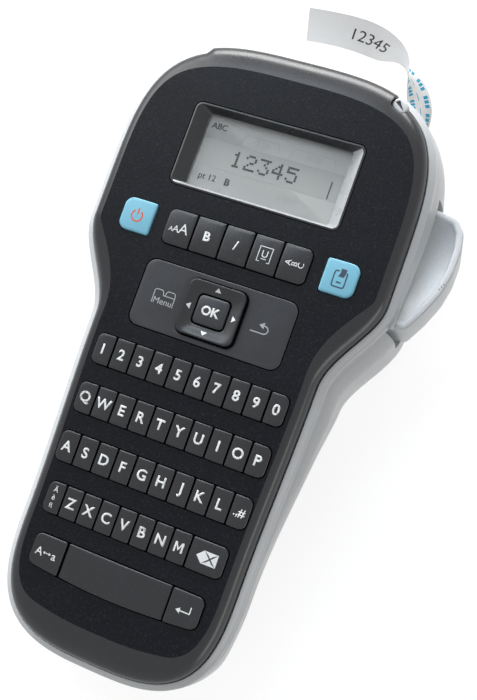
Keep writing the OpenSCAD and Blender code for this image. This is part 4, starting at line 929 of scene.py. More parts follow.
@dataclass
class FrontCover:
    """The black cover: a flat mottled face and a sloping band round it."""

    bevel_side: float = 3.6
    bevel_head: float = 7.0
    bevel_heel: float = 10.0
    bevel_turn: float = 1.6
    tongue_reach: float = 1.6
    crease: float = 0.3
    slope_rows: tuple[Triple, ...] = (
        (8.95, 0.88, 0.0), (7.4, 1.0, 0.0), (5.4, 1.0, 0.0), (3.7, 0.85, 0.1),
        (2.3, 0.5, 0.36), (1.5, 0.15, 0.68), (1.0, 0.0, 1.0))

    def bevel(self, i: int) -> float:
        """The band's width at a point of the outline."""
        along = OUTLINE.normals[i][1]
        end = self.bevel_head if along > 0 else self.bevel_heel
        return mix(self.bevel_side, end, abs(along) ** self.bevel_turn)

    def ring(self, solid: Solid, drawn: float, depth: float, reach: float = 0.0,
             share: float = 0.0) -> list[int]:
        """One ring of the cover, at a depth under the key tops."""
        flat = OUTLINE.ring(lambda i: -(RIM_W + drawn + share * self.bevel(i))
                            + reach * self.tongue_reach * OUTLINE.tongue(i))
        return solid.ring((x, y, -depth) for x, y in flat)

    def openings(self) -> Solid:
        """What is cut out of the face."""
        cuts = Solid("cuts")
        low, high = -PARTING - 4, 1.0
        for row in ROWS:
            cuts.prism(row.outline(SLOT_GAP), low, high)
        for side in (-1, 1):
            cuts.prism(big_key_outline(side, SLOT_GAP), low, high)
        cuts.prism(rounded(NAV.width + 2 * SLOT_GAP, NAV.length + 2 * SLOT_GAP,
                           [NAV.corner + SLOT_GAP] * 4, y=NAV.y), low, high)
        cuts.prism(ear_plan(0.0), low, high)
        cuts.prism(rounded(DISPLAY.width + 0.7, DISPLAY.length + 0.7, [2.75] * 4, y=DISPLAY.y),
                   low, high)
        return cuts

    def build(self, shop: Workshop) -> None:
        """Makes the cover and its posts.

        Args:
            shop: Where its materials are made.
        """
        solid = Solid("front_cover_shell")
        inner = [self.ring(solid, 0.8, COVER_DROP + COVER_PLATE, 0, 1),
                 self.ring(solid, 2.2, PARTING - 2.8), self.ring(solid, 1.9, PARTING - 0.05)]
        strips(solid, inner[0], False)
        slope = [self.ring(solid, 0.0, depth, reach, min(1.0, max(0.0, share)))
                 for depth, reach, share in between(self.slope_rows, 5)]
        rings = inner + slope
        for a, b in zip(rings, rings[1:]):
            solid.bridge(a, b)
        strips(solid, rings[-1], True)
        body = solid.object([shop.material(FACE_BLACK), shop.material(BAND_BLACK)], 14)
        carve(body, self.openings().object([]))
        posts = Solid("front_cover_posts")
        for x, y, top in SCREW_SPOTS:
            posts.prism(disc(x, y, BOSS_R), -BOSS_SPLIT, -top)
        for x, y in BOARD_SPOTS:
            posts.prism(disc(x, y, BOARD_POST_R), -BOARD_POST_END, -COVER_DROP - 1)
        posts_body = posts.object([shop.material(FACE_BLACK)])
        up = FACE.matrix().to_3x3() @ Vector((0, 0, 1))
        for polygon in body.data.polygons:
            flat = polygon.normal.dot(up) > 0.9995
            inside = FACE.local(polygon.center).z < -COVER_DROP - 0.02
            polygon.material_index = 0 if flat and not inside else 1
        soften(body, self.crease * 0.6, 60, 2)
        finish_shading(body, 14)
        flat_face(body)
        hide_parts("front_cover")
        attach(body, "case")
        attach(posts_body, "case")


# ---- the rear case --------------------------------------------------------------------------


@dataclass
class RearCase:
    """The silver case: its skin, its rim and what its back and sides are cut for."""

    head_flare: float = 3.2
    grip_flare: float = 0.6
    grip_lift: float = 11.0
    back_flat_low: float = -44.0
    back_slope: float = 24.0
    heel_start: float = -128.0
    heel_slope: float = 12.0
    rim_seat: float = 2.05
    tongue_rim: float = 0.6
    rim_top: float = PARTING - 3.2
    door_half: float = 40.0
    door_low_half: float = 34.2
    door_low: float = -41.0
    door_high: float = 40.5
    door_corner_r: float = 16.0
    door_wide_y: float = -20.0
    hinge_half: float = 29.6
    hinge_r: float = 1.0
    pin_r: float = 0.66
    cover_half: float = 31.5
    cover_low: float = -140.71
    cover_high: float = -84.0
    bay_half: float = 31.65
    bay_top: float = 24.0
    bay_low: float = -141.0
    bay_length: float = 52.5
    pivot: Point = LEVER_PIVOT
    lever_z: float = LEVER_LOW
    lever_h: float = LEVER_TALL
    slot_high: float = 22.6
    exit_low: Triple = (36.6, 41.5, 5.5)
    exit_high: Triple = (38.2, 55.5, 19.1)
    jack_place: Triple = (-49.0, 6.0, 30.0)
    jack_hole_r: float = 4.1

    def back(self, y: float) -> float:
        """Height of the back above the table."""
        return self.grip_lift * (smooth((self.back_flat_low - y) / self.back_slope)
                                 - smooth((self.heel_start - y) / self.heel_slope))

    def back_depth(self, y: float) -> float:
        """Depth of the back under the face at a place on the face."""
        tilt = math.radians(FACE.tilt)
        depth = FACE.height
        for _ in range(6):
            across = FACE.shift + y * math.cos(tilt) + depth * math.sin(tilt)
            depth = (FACE.height + y * math.sin(tilt) - self.back(across)) / math.cos(tilt)
        return depth

    def skin(self, solid: Solid, share: float, head: float, grip: float, lift: float = 0.0
             ) -> list[int]:
        """One ring of the skin, a share of the way down to the back."""
        low, high = OUTLINE.grip_start, OUTLINE.waist_low
        flat = OUTLINE.ring(lambda i: mix(grip, head, smooth(
            (OUTLINE.points[i][1] - low) / (high - low))))
        points = []
        for x, y in flat:
            p = FACE.world(x, y, -PARTING) / MM
            points.append((p.x, p.y, mix(p.z, self.back(p.y), share) + lift))
        return solid.ring(points)

    def rim(self, solid: Solid, drawn: float, tongue: float, depth: float) -> list[int]:
        """One ring of the rim."""
        flat = OUTLINE.ring(lambda i: -mix(drawn, tongue, OUTLINE.tongue(i)))
        return solid.ring(FACE.world(x, y, -depth) / MM for x, y in flat)

    def door_plan(self, grow: float) -> list[Point]:
        """The tape door's plan, grown by a gap."""
        low = self.door_low - self.hinge_r - grow
        high, half = self.door_high + grow, self.door_half + grow
        low_half, r = self.door_low_half + grow, self.door_corner_r + grow
        notch = self.door_low + 1.7 - grow
        share = (notch - low) / (self.door_wide_y - low)
        right = [(self.hinge_half + grow, low), (self.hinge_half + grow, notch),
                 (mix(low_half, half, share), notch), (half, self.door_wide_y)]
        right += [(half - r + r * math.cos(math.pi / 2 * i / 12),
                   high - r + r * math.sin(math.pi / 2 * i / 12)) for i in range(13)]
        return right + [(-x, y) for x, y in reversed(right)]

    def battery_side(self) -> list[Point]:
        """The battery opening's side view, in y and z."""
        low = self.cover_low - SEAM
        top = [(mix(low, self.cover_high, i / 14),
                self.back(mix(low, self.cover_high, i / 14)) + WALL + 1.2) for i in range(15)]
        return top + [(self.cover_high, -3.0), (low, -3.0)]

    def cuts(self) -> Solid:
        """What is cut out of the case."""
        tool = Solid("cuts", False)
        tool.prism(self.door_plan(SEAM), -1, WALL + 1)
        rod_x(tool, -self.hinge_half - 2.5, self.hinge_half + 2.5, self.door_low, self.hinge_r,
              self.pin_r)
        side = self.battery_side()
        half = self.cover_half + SEAM
        ends = [tool.ring((x, y, z) for y, z in side) for x in (-half, half)]
        tool.lid(ends[0])
        tool.bridge(ends[1], ends[0])
        tool.lid(ends[1], False)
        rod_x(tool, -self.cover_half - 1.9, self.cover_half + 1.9,
              self.cover_high - SEAM - WALL / 2, self.grip_lift + WALL / 2, self.pin_r)
        px, py = self.pivot
        block(tool, (px - 5, py - 4.6, self.lever_z - 0.5),
              (px + 7, self.slot_high, self.lever_z + self.lever_h + 0.5))
        tool.prism(disc(px, py, 1.5), self.lever_z - 4, self.lever_z + self.lever_h + 4)
        block(tool, self.exit_low, self.exit_high)
        jx, jy, jz = self.jack_place
        rod_x(tool, jx - 11, jx + 3, jy, jz, self.jack_hole_r, 40)
        for x, y, _ in SCREW_SPOTS:
            depth = self.back_depth(y)
            for r, low, high in ((2.2, -depth - 2, -depth + 3), (1.1, -depth - 2, -PARTING)):
                column(tool, x, y, r, low, high, 24)
        return tool

    def build(self, shop: Workshop) -> None:
        """Makes the case.

        Args:
            shop: Where its material is made.
        """
        flare, grip = self.head_flare, self.grip_flare
        rows = [(1.0, -3.5, -7.0), (0.965, 0.0, -4.5), (0.86, 0.7 * flare, -2.0),
                (0.6, flare, grip - 0.4), (0.32, flare, grip), (0.12, 0.55 * flare, grip),
                (0.0, 0.0, 0.0)]
        solid = Solid("rear_case_shell", False)
        outer = [self.skin(solid, share, min(flare, head), min(grip, side))
                 for share, head, side in between(rows, 5)[:-2]]
        strips(solid, outer[0], False)
        rim = [self.rim(solid, -0.35, -0.2, PARTING - 0.3),
               self.rim(solid, -0.3, -0.2, self.rim_top + 1.7),
               self.rim(solid, 0.1, 0.05, self.rim_top + 1.1),
               self.rim(solid, self.rim_seat - 0.25, self.tongue_rim - 0.12, self.rim_top),
               self.rim(solid, self.rim_seat, self.tongue_rim, self.rim_top + 0.15),
               self.rim(solid, self.rim_seat, self.tongue_rim, PARTING),
               self.rim(solid, RIM_W + WALL, RIM_W + WALL, PARTING),
               self.rim(solid, RIM_W + WALL, RIM_W + WALL, PARTING + 1)]
        inner_rows = [(0.32, flare - WALL, grip - WALL), (0.6, flare - WALL, grip - WALL),
                      (0.9, -WALL, -3.4 - WALL), (1.0, -3.5 - WALL, -7.0 - WALL)]
        inner = [self.skin(solid, share, head, side, lift) for (share, head, side), lift
                 in zip(inner_rows, (0, 0, 0.8, WALL))]
        rings = outer + rim + inner
        for a, b in zip(rings, rings[1:]):
            solid.bridge(a, b)
        strips(solid, rings[-1], True)
        for x, y, _ in SCREW_SPOTS:
            column(solid, x, y, BOSS_R, 1 - self.back_depth(y), -0.1 - BOSS_SPLIT)
        px, py = self.pivot
        for z in (self.lever_z - 2.1, self.lever_z + self.lever_h + 0.5):
            block(solid, (px - 3.4, py - 3.4, z), (px + 3.6, py + 3.4, z + 1.6))
        half = self.bay_half
        block(solid, (-half, self.bay_low, self.bay_top),
              (half, self.bay_low + self.bay_length, self.bay_top + 0.8))
        for y in (self.bay_low, self.bay_low + self.bay_length - 1.4):
            block(solid, (-half, y, self.grip_lift + 1), (half, y + 1.4, self.bay_top + 0.4))
        body = solid.object([shop.material(CASE_SILVER)], 28)
        carve(body, self.cuts().object([]))
        finish_shading(body, 28)
        self.build_ear(shop)
        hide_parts("rear_case")
        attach(body, "case")

    def build_ear(self, shop: Workshop) -> None:
        """Makes the lobe that fills the notch, with its small slot, whose dark floor is a black
        piece painted in as shade.
        """
        ear = Solid("rear_case_lobe")
        level = -3.3
        ear.cap(ear_plan(-0.14), -PARTING - 0.3, lambda a, b: level, 0.7, 4)
        lobe = ear.object([shop.material(CASE_SILVER)], 40)
        slot = [(-1.3, -1.9), (-2.0, -3.2), (2.1, -3.9)]
        cut = Solid("cut")
        cut.prism(ear_points(slot)[::-1], level - 0.7, level + 1)
        carve(lobe, cut.object([]))
        lobe.data.validate()
        # Painted shade: a black piece on the slot's floor stands for the darkness inside the
        # slot.
        dark = Solid("rear_case_lobe_slot_painted_shade")
        dark.prism(ear_points(slot)[::-1], level - 0.9, level - 0.45)
        for body in (lobe, dark.object([shop.material(BLACK_PLASTIC)])):
            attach(body, "case")


# ---- key layout and legends -----------------------------------------------------------------

KEY_GAP = 0.45
KEY_L = 9.9
ROW_PITCH = 16.35
KEY_PITCH = 6.6
ROW_R = 2.2
INNER_R = 0.5
BIG_KEY = 10.9
BIG_KEY_X = 34.6
FORMAT_Y = 39.15
FORMAT_L = 11.6
FORMAT_PITCH = 9.87


def row_y(n: int) -> float:
    """The middle of a key row on the face."""
    return -KEY_L / 2 - 0.15 - n * ROW_PITCH


@dataclass(frozen=True)
class Row:
    """One row of keys and its opening in the cover."""

    width: float
    length: float
    y: float
    bulge: float = 0.0
    corner: float = ROW_R

    def outline(self, grow: float) -> list[Point]:
        """The row's outline, grown by a gap."""
        r = self.corner + grow
        base = rounded(self.width - KEY_GAP + 2 * grow, self.length + 2 * grow, [r] * 4,
                       y=self.y, edge_cuts=24 if self.bulge else 2)
        if not self.bulge:
            return base
        half = self.width / 2
        return [(x, y - self.bulge * max(0.0, 1 - (x / half) ** 2) if y < self.y else y)
                for x, y in base]


ROWS = (Row(10 * KEY_PITCH, KEY_L, row_y(0)), Row(10 * KEY_PITCH, KEY_L, row_y(1)),
        Row(10 * KEY_PITCH, KEY_L, row_y(2)), Row(62.0, KEY_L, row_y(3)),
        Row(58.4, KEY_L, row_y(4), 1.8), Row(5 * FORMAT_PITCH, FORMAT_L, FORMAT_Y))


def big_key_outline(side: int, grow: float) -> list[Point]:
    """A square key's outline, rounder on its outer side."""
    far, near = 2.8 + grow, 0.8 + grow
    radii = [far, far, near, near] if side > 0 else [near, near, far, far]
    size = BIG_KEY + 2 * grow
    return rounded(size, size, radii, x=side * BIG_KEY_X, y=FORMAT_Y)


@dataclass(frozen=True)
class NavCluster:
    """The rocker, the four-way ring and the round key inside it."""

    y: float = 16.7
    width: float = 51.8
    length: float = 22.2
    corner: float = 3.4
    ring_w: float = 19.2
    ring_l: float = 17.8
    ring_r: float = 2.5
    rise: float = 1.3
    gap: float = 0.4
    sink: float = 0.72
    fall: float = 0.25
    ok_w: float = 10.4
    ok_l: float = 9.3
    ok_r: float = 1.4


@dataclass(frozen=True)
class DisplayPlan:
    """The display's window and what shows through it."""

    y: float = 66.9
    width: float = 58.0
    length: float = 28.4
    glass_w: float = 49.4
    glass_l: float = 24.6
    glass_drop: float = 4.5


NAV = NavCluster()
DISPLAY = DisplayPlan()


def crown_x(middle: float, r: float, top: float = 0.0) -> Height:
    """A top rounded across x."""
    return lambda x, y: top - r + math.sqrt(max(0.0, r * r - (x - middle) ** 2))


def crown_ball(cx: float, cy: float, r: float, top: float = 0.0) -> Height:
    """A top rounded both ways."""
    return lambda x, y: top - r + math.sqrt(max(0.0, r * r - (x - cx) ** 2 - (y - cy) ** 2))


CAP_HEIGHT = 0.682


class Legends:
    """Gathers printed marks as thin closed pieces that follow a surface."""

    def __init__(self, name: str, lift: float = 0.025, depth: float = 0.12) -> None:
        """Starts an empty set of marks.

        Args:
            name: The piece's name.
            lift: How far the marks stand above their surface, in millimetres.
            depth: How far they reach into it.
        """
        self.name = name
        self.lift = lift
        self.depth = depth
        self.work = bmesh.new()

    def place(self, flat: bpy.types.Mesh, to_face: Matrix, surface: Height,
              cell: float = 0.7) -> None:
        """Lays a flat mesh on a surface.

        Args:
            flat: The mark, in its own plane.
            to_face: Its place in the face frame, in millimetres.
            surface: The surface's height.
            cell: Longest step along x and y.
        """
        part = bmesh.new()
        part.from_mesh(flat)
        part.transform(to_face)
        bmesh.ops.remove_doubles(part, verts=part.verts, dist=1e-4)
        bmesh.ops.triangulate(part, faces=part.faces)
        if not part.verts:
            part.free()
            return
        for axis in (0, 1):
            low = min(v.co[axis] for v in part.verts)
            high = max(v.co[axis] for v in part.verts)
            for k in range(math.floor(low / cell) + 1, math.ceil(high / cell)):
                at, way = Vector((0, 0, 0)), Vector((0, 0, 0))
                at[axis], way[axis] = k * cell, 1.0
                bmesh.ops.bisect_plane(
                    part, geom=part.verts[:] + part.edges[:] + part.faces[:],
                    plane_co=at, plane_no=way, dist=1e-5)
        top = part.faces[:]
        for f in top:
            if f.normal.z < 0:
                f.normal_flip()
        grown = bmesh.ops.extrude_face_region(part, geom=top)
        raised = {v for v in grown["geom"] if isinstance(v, bmesh.types.BMVert)}
        for v in part.verts:
            v.co.z = surface(v.co.x, v.co.y) + (self.lift if v in raised else -self.depth)
        bmesh.ops.recalc_face_normals(part, faces=part.faces)
        mesh = bpy.data.meshes.new("part")
        part.to_mesh(mesh)
        part.free()
        self.work.from_mesh(mesh)
        bpy.data.meshes.remove(mesh)

    def text(self, words: str, x: float, y: float, size: float, surface: Height,
             weight: float = 0.012, turn: float = 0.0, lean: float = 0.0,
             wide: float = 1.0) -> None:
        """Adds words centred on a place.

        Args:
            words: What is printed.
            x: Middle along x.
            y: Middle along y.
            size: Height of a capital letter, in millimetres.
            surface: The surface's height.
            weight: Extra weight of the strokes.
            turn: Turn in degrees.
            lean: Slant of the letters.
            wide: Stretch along the line.
        """
        curve = bpy.data.curves.new("words", "FONT")
        curve.body = words
        curve.size = 1.0
        curve.offset = weight
        curve.shear = lean
        curve.resolution_u = 5
        writer = bpy.data.objects.new("words", curve)
        bpy.context.scene.collection.objects.link(writer)
        bpy.context.view_layer.update()
        mesh = bpy.data.meshes.new_from_object(
            writer.evaluated_get(bpy.context.evaluated_depsgraph_get()))
        xs = [v.co.x for v in mesh.vertices]
        ys = [v.co.y for v in mesh.vertices]
        scale = size / CAP_HEIGHT
        middle = Vector(((min(xs) + max(xs)) / 2, CAP_HEIGHT / 2 if min(ys) > -0.05
                         or len(words) > 1 else (min(ys) + max(ys)) / 2, 0))
        matrix = (Matrix.Translation((x, y, 0))
                  @ Matrix.Rotation(math.radians(turn), 4, "Z")
                  @ Matrix.Diagonal((scale * wide, scale, 1, 1))
                  @ Matrix.Translation(-middle))
        self.place(mesh, matrix, surface)
        bpy.data.objects.remove(writer)
        bpy.data.curves.remove(curve)
        bpy.data.meshes.remove(mesh)

    def shape(self, outline: Sequence[Point], surface: Height) -> None:
        """Adds a filled outline."""
        mesh = bpy.data.meshes.new("shape")
        mesh.from_pydata([(x, y, 0) for x, y in outline], [], [tuple(range(len(outline)))])
        self.place(mesh, Matrix.Identity(4), surface)
        bpy.data.meshes.remove(mesh)

    def stroke(self, points: Sequence[Point], width: float, surface: Height,
               closed: bool = False) -> None:
        """Adds a line of even width through some points."""
        count = len(points)
        sides: list[tuple[Point, Point]] = []
        for i, (x, y) in enumerate(points):
            before = points[i - 1] if i or closed else None
            after = points[(i + 1) % count] if i < count - 1 or closed else None
            ways = []
            for a, b in ((before, (x, y)), ((x, y), after)):
                if a is not None and b is not None:
                    length = math.hypot(b[0] - a[0], b[1] - a[1]) or 1.0
                    ways.append((-(b[1] - a[1]) / length, (b[0] - a[0]) / length))
            nx = sum(w[0] for w in ways) / len(ways)
            ny = sum(w[1] for w in ways) / len(ways)
            grow = width / 2 / max(0.35, nx * nx + ny * ny)
            sides.append(((x + nx * grow, y + ny * grow), (x - nx * grow, y - ny * grow)))
        mesh = bpy.data.meshes.new("stroke")
        flat = [(p[0], p[1], 0) for pair in sides for p in pair]
        faces = [(2 * i, 2 * i + 1, 2 * ((i + 1) % count) + 1, 2 * ((i + 1) % count))
                 for i in range(count if closed else count - 1)]
        mesh.from_pydata(flat, [], faces)
        self.place(mesh, Matrix.Identity(4), surface)
        bpy.data.meshes.remove(mesh)

    def done(self, material: bpy.types.Material, body: str,
             matrix: Matrix | None = None) -> None:
        """Makes the marks' object.

        Args:
            material: Their material.
            body: The body they ride on.
            matrix: The frame they were made in; the face frame if none is given.
        """
        mesh = bpy.data.meshes.new(self.name)
        self.work.to_mesh(mesh)
        self.work.free()
        mesh.transform((FACE.matrix() if matrix is None else matrix) @ Matrix.Scale(MM, 4))
        mesh.materials.append(material)
        marks = bpy.data.objects.new(self.name, mesh)
        bpy.context.scene.collection.objects.link(marks)
        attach(marks, body)


def arc(cx: float, cy: float, r: float, start: float, end: float, steps: int = 10
        ) -> list[Point]:
    """Points along an arc, between two angles in degrees."""
    return [(cx + r * math.cos(math.radians(mix(start, end, i / steps))),
             cy + r * math.sin(math.radians(mix(start, end, i / steps))))
            for i in range(steps + 1)]


# ---- the keys -------------------------------------------------------------------------------


@dataclass(frozen=True)
class KeyStyle:
    """How a node's keys are shaped."""

    crown: float = 16.0
    both_ways: bool = False
    edge: float = 0.4


LETTER = KeyStyle()
FLAT = KeyStyle(crown=60.0, both_ways=True)


def key_outline(span: Span, row: Row) -> list[Point]:
    """One key's outline: square inside its row and rounded at the row's ends."""
    (x, y), (w, l) = span.middle, span.size
    half = (row.width - KEY_GAP) / 2
    right = row.corner if span.x1 > half - 0.3 else INNER_R
    left = row.corner if span.x0 < -half + 0.3 else INNER_R
    return rounded(w, l, [right, right, left, left], x=x, y=y)


def key_top(span: Span, style: KeyStyle) -> Height:
    """A key's top surface."""
    x, y = span.middle
    return crown_ball(x, y, style.crown) if style.both_ways else crown_x(x, style.crown)


KeyArt = Callable[[Legends, Span, Height], None]


def lettered(words: str, size: float = 3.2, weight: float = 0.022) -> KeyArt:
    """Art for a key with one word in its middle."""
    def art(marks: Legends, span: Span, top: Height) -> None:
        """Prints the word on one key."""
        if words == "M":
            wide_letter(marks, *span.middle, size, top)
        else:
            marks.text(words, *span.middle, size, top, weight)
    return art


def wide_letter(marks: Legends, x: float, y: float, size: float, top: Height) -> None:
    """The letter M, drawn as an outline."""
    w, h, t = size * 0.46, size / 2, size * 0.18
    side = [(w - t, -h), (w, -h), (w, h), (w - t * 1.15, h)]
    notch, inside, valley = -h * 0.3 + t * 0.5, h * 0.42, -h + t * 0.9
    outline = ([(x + px, y + py) for px, py in side] + [(x, y + notch)]
               + [(x - px, y + py) for px, py in reversed(side)]
               + [(x - (w - t), y + inside), (x, y + valley), (x + (w - t), y + inside)])
    marks.shape(outline, top)


@dataclass(frozen=True)
class KeySet:
    """The keys of one CAD node."""

    node: str
    row: Row
    arts: tuple[KeyArt | None, ...]
    style: KeyStyle = LETTER

    def build(self, shop: Workshop) -> None:
        """Makes the keys and their legends, and has them stand for the node."""
        caps = Solid(f"{self.node}_caps")
        marks = Legends(f"{self.node}_legends")
        found = spans(self.node)
        for span, art in zip(found, self.arts, strict=True):
            top = key_top(span, self.style)
            caps.cap(self.outline(span), KEY_BASE, top, self.style.edge)
            if art:
                art(marks, span, top)
        body = caps.object([shop.material(KEY_DARK)], 40)
        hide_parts(self.node)
        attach(body, self.node)
        if any(self.arts):
            marks.done(shop.material(LEGEND_WHITE), self.node)

    def outline(self, span: Span) -> list[Point]:
        """A key's outline, with the row's bulging lower edge where it has one."""
        if not self.row.bulge:
            return key_outline(span, self.row)
        half = self.row.width / 2
        (x, _), (w, _) = span.middle, span.size
        low, high = self.row.y - self.row.length / 2, self.row.y + self.row.length / 2
        right = ROW_R if span.x1 > half - 0.6 else INNER_R
        left = ROW_R if span.x0 < -half + 0.6 else INNER_R
        base = rounded(w, high - low, [right, right, left, left], x=x, y=self.row.y,
                       edge_cuts=20)
        return [(a, b - self.row.bulge * max(0.0, 1 - (a / half) ** 2)
                 * smooth((high - b) / (high - low) * 1.6 - 0.3)) for a, b in base]


def size_art(marks: Legends, span: Span, top: Height) -> None:
    """Three letters in rising sizes."""
    x, y = span.middle
    for dx, size in ((-2.5, 1.5), (-0.85, 2.2), (1.7, 3.3)):
        marks.text("A", x + dx, y - 1.6 + size / 2, size, top, 0.0)


def italic_art(marks: Legends, span: Span, top: Height) -> None:
    """A slanted letter."""
    marks.text("I", *span.middle, 2.9, top, 0.012, lean=0.3)


def underline_art(marks: Legends, span: Span, top: Height) -> None:
    """An underlined letter in a box that is open below."""
    x, y = span.middle
    marks.text("U", x, y + 0.15, 2.2, top, 0.0)
    marks.stroke([(x - 0.9, y - 1.5), (x + 0.9, y - 1.5)], 0.22, top)
    w, h = 2.1, 2.4
    marks.stroke([(x - 1.2, y - h), (x - w, y - h), (x - w, y + h), (x + w, y + h),
                  (x + w, y - h), (x + 1.2, y - h)], 0.22, top)


def vertical_art(marks: Legends, span: Span, top: Height) -> None:
    """Three letters turned a quarter."""
    x, y = span.middle
    for k, letter in enumerate("ABC"):
        marks.text(letter, x + (k - 1) * 2.1, y, 1.9, top, 0.0, turn=90)


def accent_art(marks: Legends, span: Span, top: Height) -> None:
    """Three small accented letters over one another."""
    x, y = span.middle
    for k, letter in enumerate(("Ä", "è", "ñ")):
        marks.text(letter, x, y + 2.5 - 2.5 * k, 1.6, top, 0.01)


def delete_art(marks: Legends, span: Span, top: Height) -> None:
    """A filled arrow shape to the left with a cross in it."""
    x, y = span.middle
    w, h, cut = 3.4, 2.0, 0.45
    near, far = x - 1.3, x + w
    marks.shape([(near, y + h), (x - w, y), (near, y - h)], top)
    cx = (near + far) / 2
    reach = 1.15
    corners = [(near, y - h), (far, y - h), (far, y + h), (near, y + h)]
    arms = [(cx - reach, y - reach), (cx + reach, y - reach), (cx + reach, y + reach),
            (cx - reach, y + reach)]
    for k in range(4):
        a, b = corners[k], corners[(k + 1) % 4]
        p, q = arms[k], arms[(k + 1) % 4]
        along = ((q[0] - p[0]) / (2 * reach), (q[1] - p[1]) / (2 * reach))
        inward = (-along[1], along[0])
        s = cut * 0.7
        p1 = (p[0] + along[0] * s, p[1] + along[1] * s)
        q1 = (q[0] - along[0] * s, q[1] - along[1] * s)
        hub = ((p[0] + q[0]) / 2 + inward[0] * (reach - s),
               (p[1] + q[1]) / 2 + inward[1] * (reach - s))
        marks.shape([a, b, q1, hub, p1], top)


def caps_art(marks: Legends, span: Span, top: Height) -> None:
    """A capital and a small letter joined by a double arrow."""
    x, y = span.middle
    marks.text("A", x - 2.6, y, 2.5, top, 0.006)
    marks.text("a", x + 2.6, y - 0.1, 2.5, top, 0.006)
    marks.stroke([(x - 0.8, y), (x + 1.0, y)], 0.26, top)
    for side in (-1, 1):
        tip = x + 0.1 + side * 1.35
        marks.shape([(tip, y), (tip - side * 0.65, y + 0.5), (tip - side * 0.65, y - 0.5)][
            ::side], top)


def enter_art(marks: Legends, span: Span, top: Height) -> None:
    """A bent arrow to the left."""
    x, y = span.middle
    marks.stroke([(x + 2.0, y + 1.7), (x + 2.0, y - 0.4), (x - 1.6, y - 0.4)], 0.36, top)
    marks.shape([(x - 2.6, y - 0.4), (x - 1.2, y - 1.3), (x - 1.2, y + 0.5)], top)


def key_sets() -> list[KeySet]:
    """The dark keys, node by node."""
    blank = KeyStyle(crown=220.0, both_ways=True)
    words = {"top_letter_keys": (1, "QWERTYUIOP"), "digit_keys": (0, "1234567890"),
             "home_letter_keys": (2, "ASDFGHJKL"), "bottom_letter_keys": (3, "ZXCVBNM")}
    sets = [KeySet(node, ROWS[row], tuple(lettered(c) for c in letters))
            for node, (row, letters) in words.items()]
    return sets + [
        KeySet("symbol_key", ROWS[2], (lettered(".,#", 2.5, 0.012),)),
        KeySet("accent_key", ROWS[3], (accent_art,)),
        KeySet("delete_key", ROWS[3], (delete_art,), FLAT),
        KeySet("caps_key", ROWS[4], (caps_art,), blank),
        KeySet("space_key", ROWS[4], (None,), blank),
        KeySet("enter_key", ROWS[4], (enter_art,), blank),
        KeySet("size_key", ROWS[5], (size_art,), FLAT),
        KeySet("bold_key", ROWS[5], (lettered("B", 2.8, 0.035),), FLAT),
        KeySet("italic_key", ROWS[5], (italic_art,), FLAT),
        KeySet("underline_key", ROWS[5], (underline_art,), FLAT),
        KeySet("vertical_key", ROWS[5], (vertical_art,), FLAT)]


def build_big_keys(shop: Workshop) -> None:
    """Makes the two blue keys and their icons."""
    for side, node in ((-1, "power_key"), (1, "print_key")):
        x, y = side * BIG_KEY_X, FORMAT_Y
        top = crown_ball(x, y, 70.0)
        caps = Solid(f"{node}_cap")
        caps.cap(big_key_outline(side, 0.0), KEY_BASE, top, 0.45, 7)
        body = caps.object([shop.material(KEY_BLUE)], 40)
        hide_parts(node)
        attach(body, node)
        marks = Legends(f"{node}_icon")
        if side < 0:
            marks.stroke(arc(x, y - 0.2, 1.85, 125, 415, 28), 0.5, top)
            marks.stroke([(x, y + 0.1), (x, y + 2.4)], 0.5, top)
            marks.done(shop.material(LEGEND_RED), node)
        else:
            marks.stroke([(x - 0.75, y + 2.1), *arc(x - 1.3, y + 1.4, 0.7, 90, 180, 5),
                          *arc(x - 1.3, y - 2.2, 0.7, 180, 270, 5),
                          *arc(x + 1.3, y - 2.2, 0.7, 270, 360, 5),
                          *arc(x + 1.3, y + 1.4, 0.7, 0, 50, 3)], 0.42, top)
            left = [(x - 0.75, y + 0.35), (x - 0.4, y + 1.0), (x - 0.25, y + 1.7),
                    (x - 0.3, y + 3.0)]
            for a, b in zip(left, left[1:]):
                marks.shape([a, (a[0] + 1.75, a[1]), (b[0] + 1.75, b[1]), b], top)
            marks.stroke([(x - 0.8, y - 1.45), (x + 0.8, y - 1.45)], 0.45, top)
            marks.done(shop.material(LEGEND_NAVY), node)


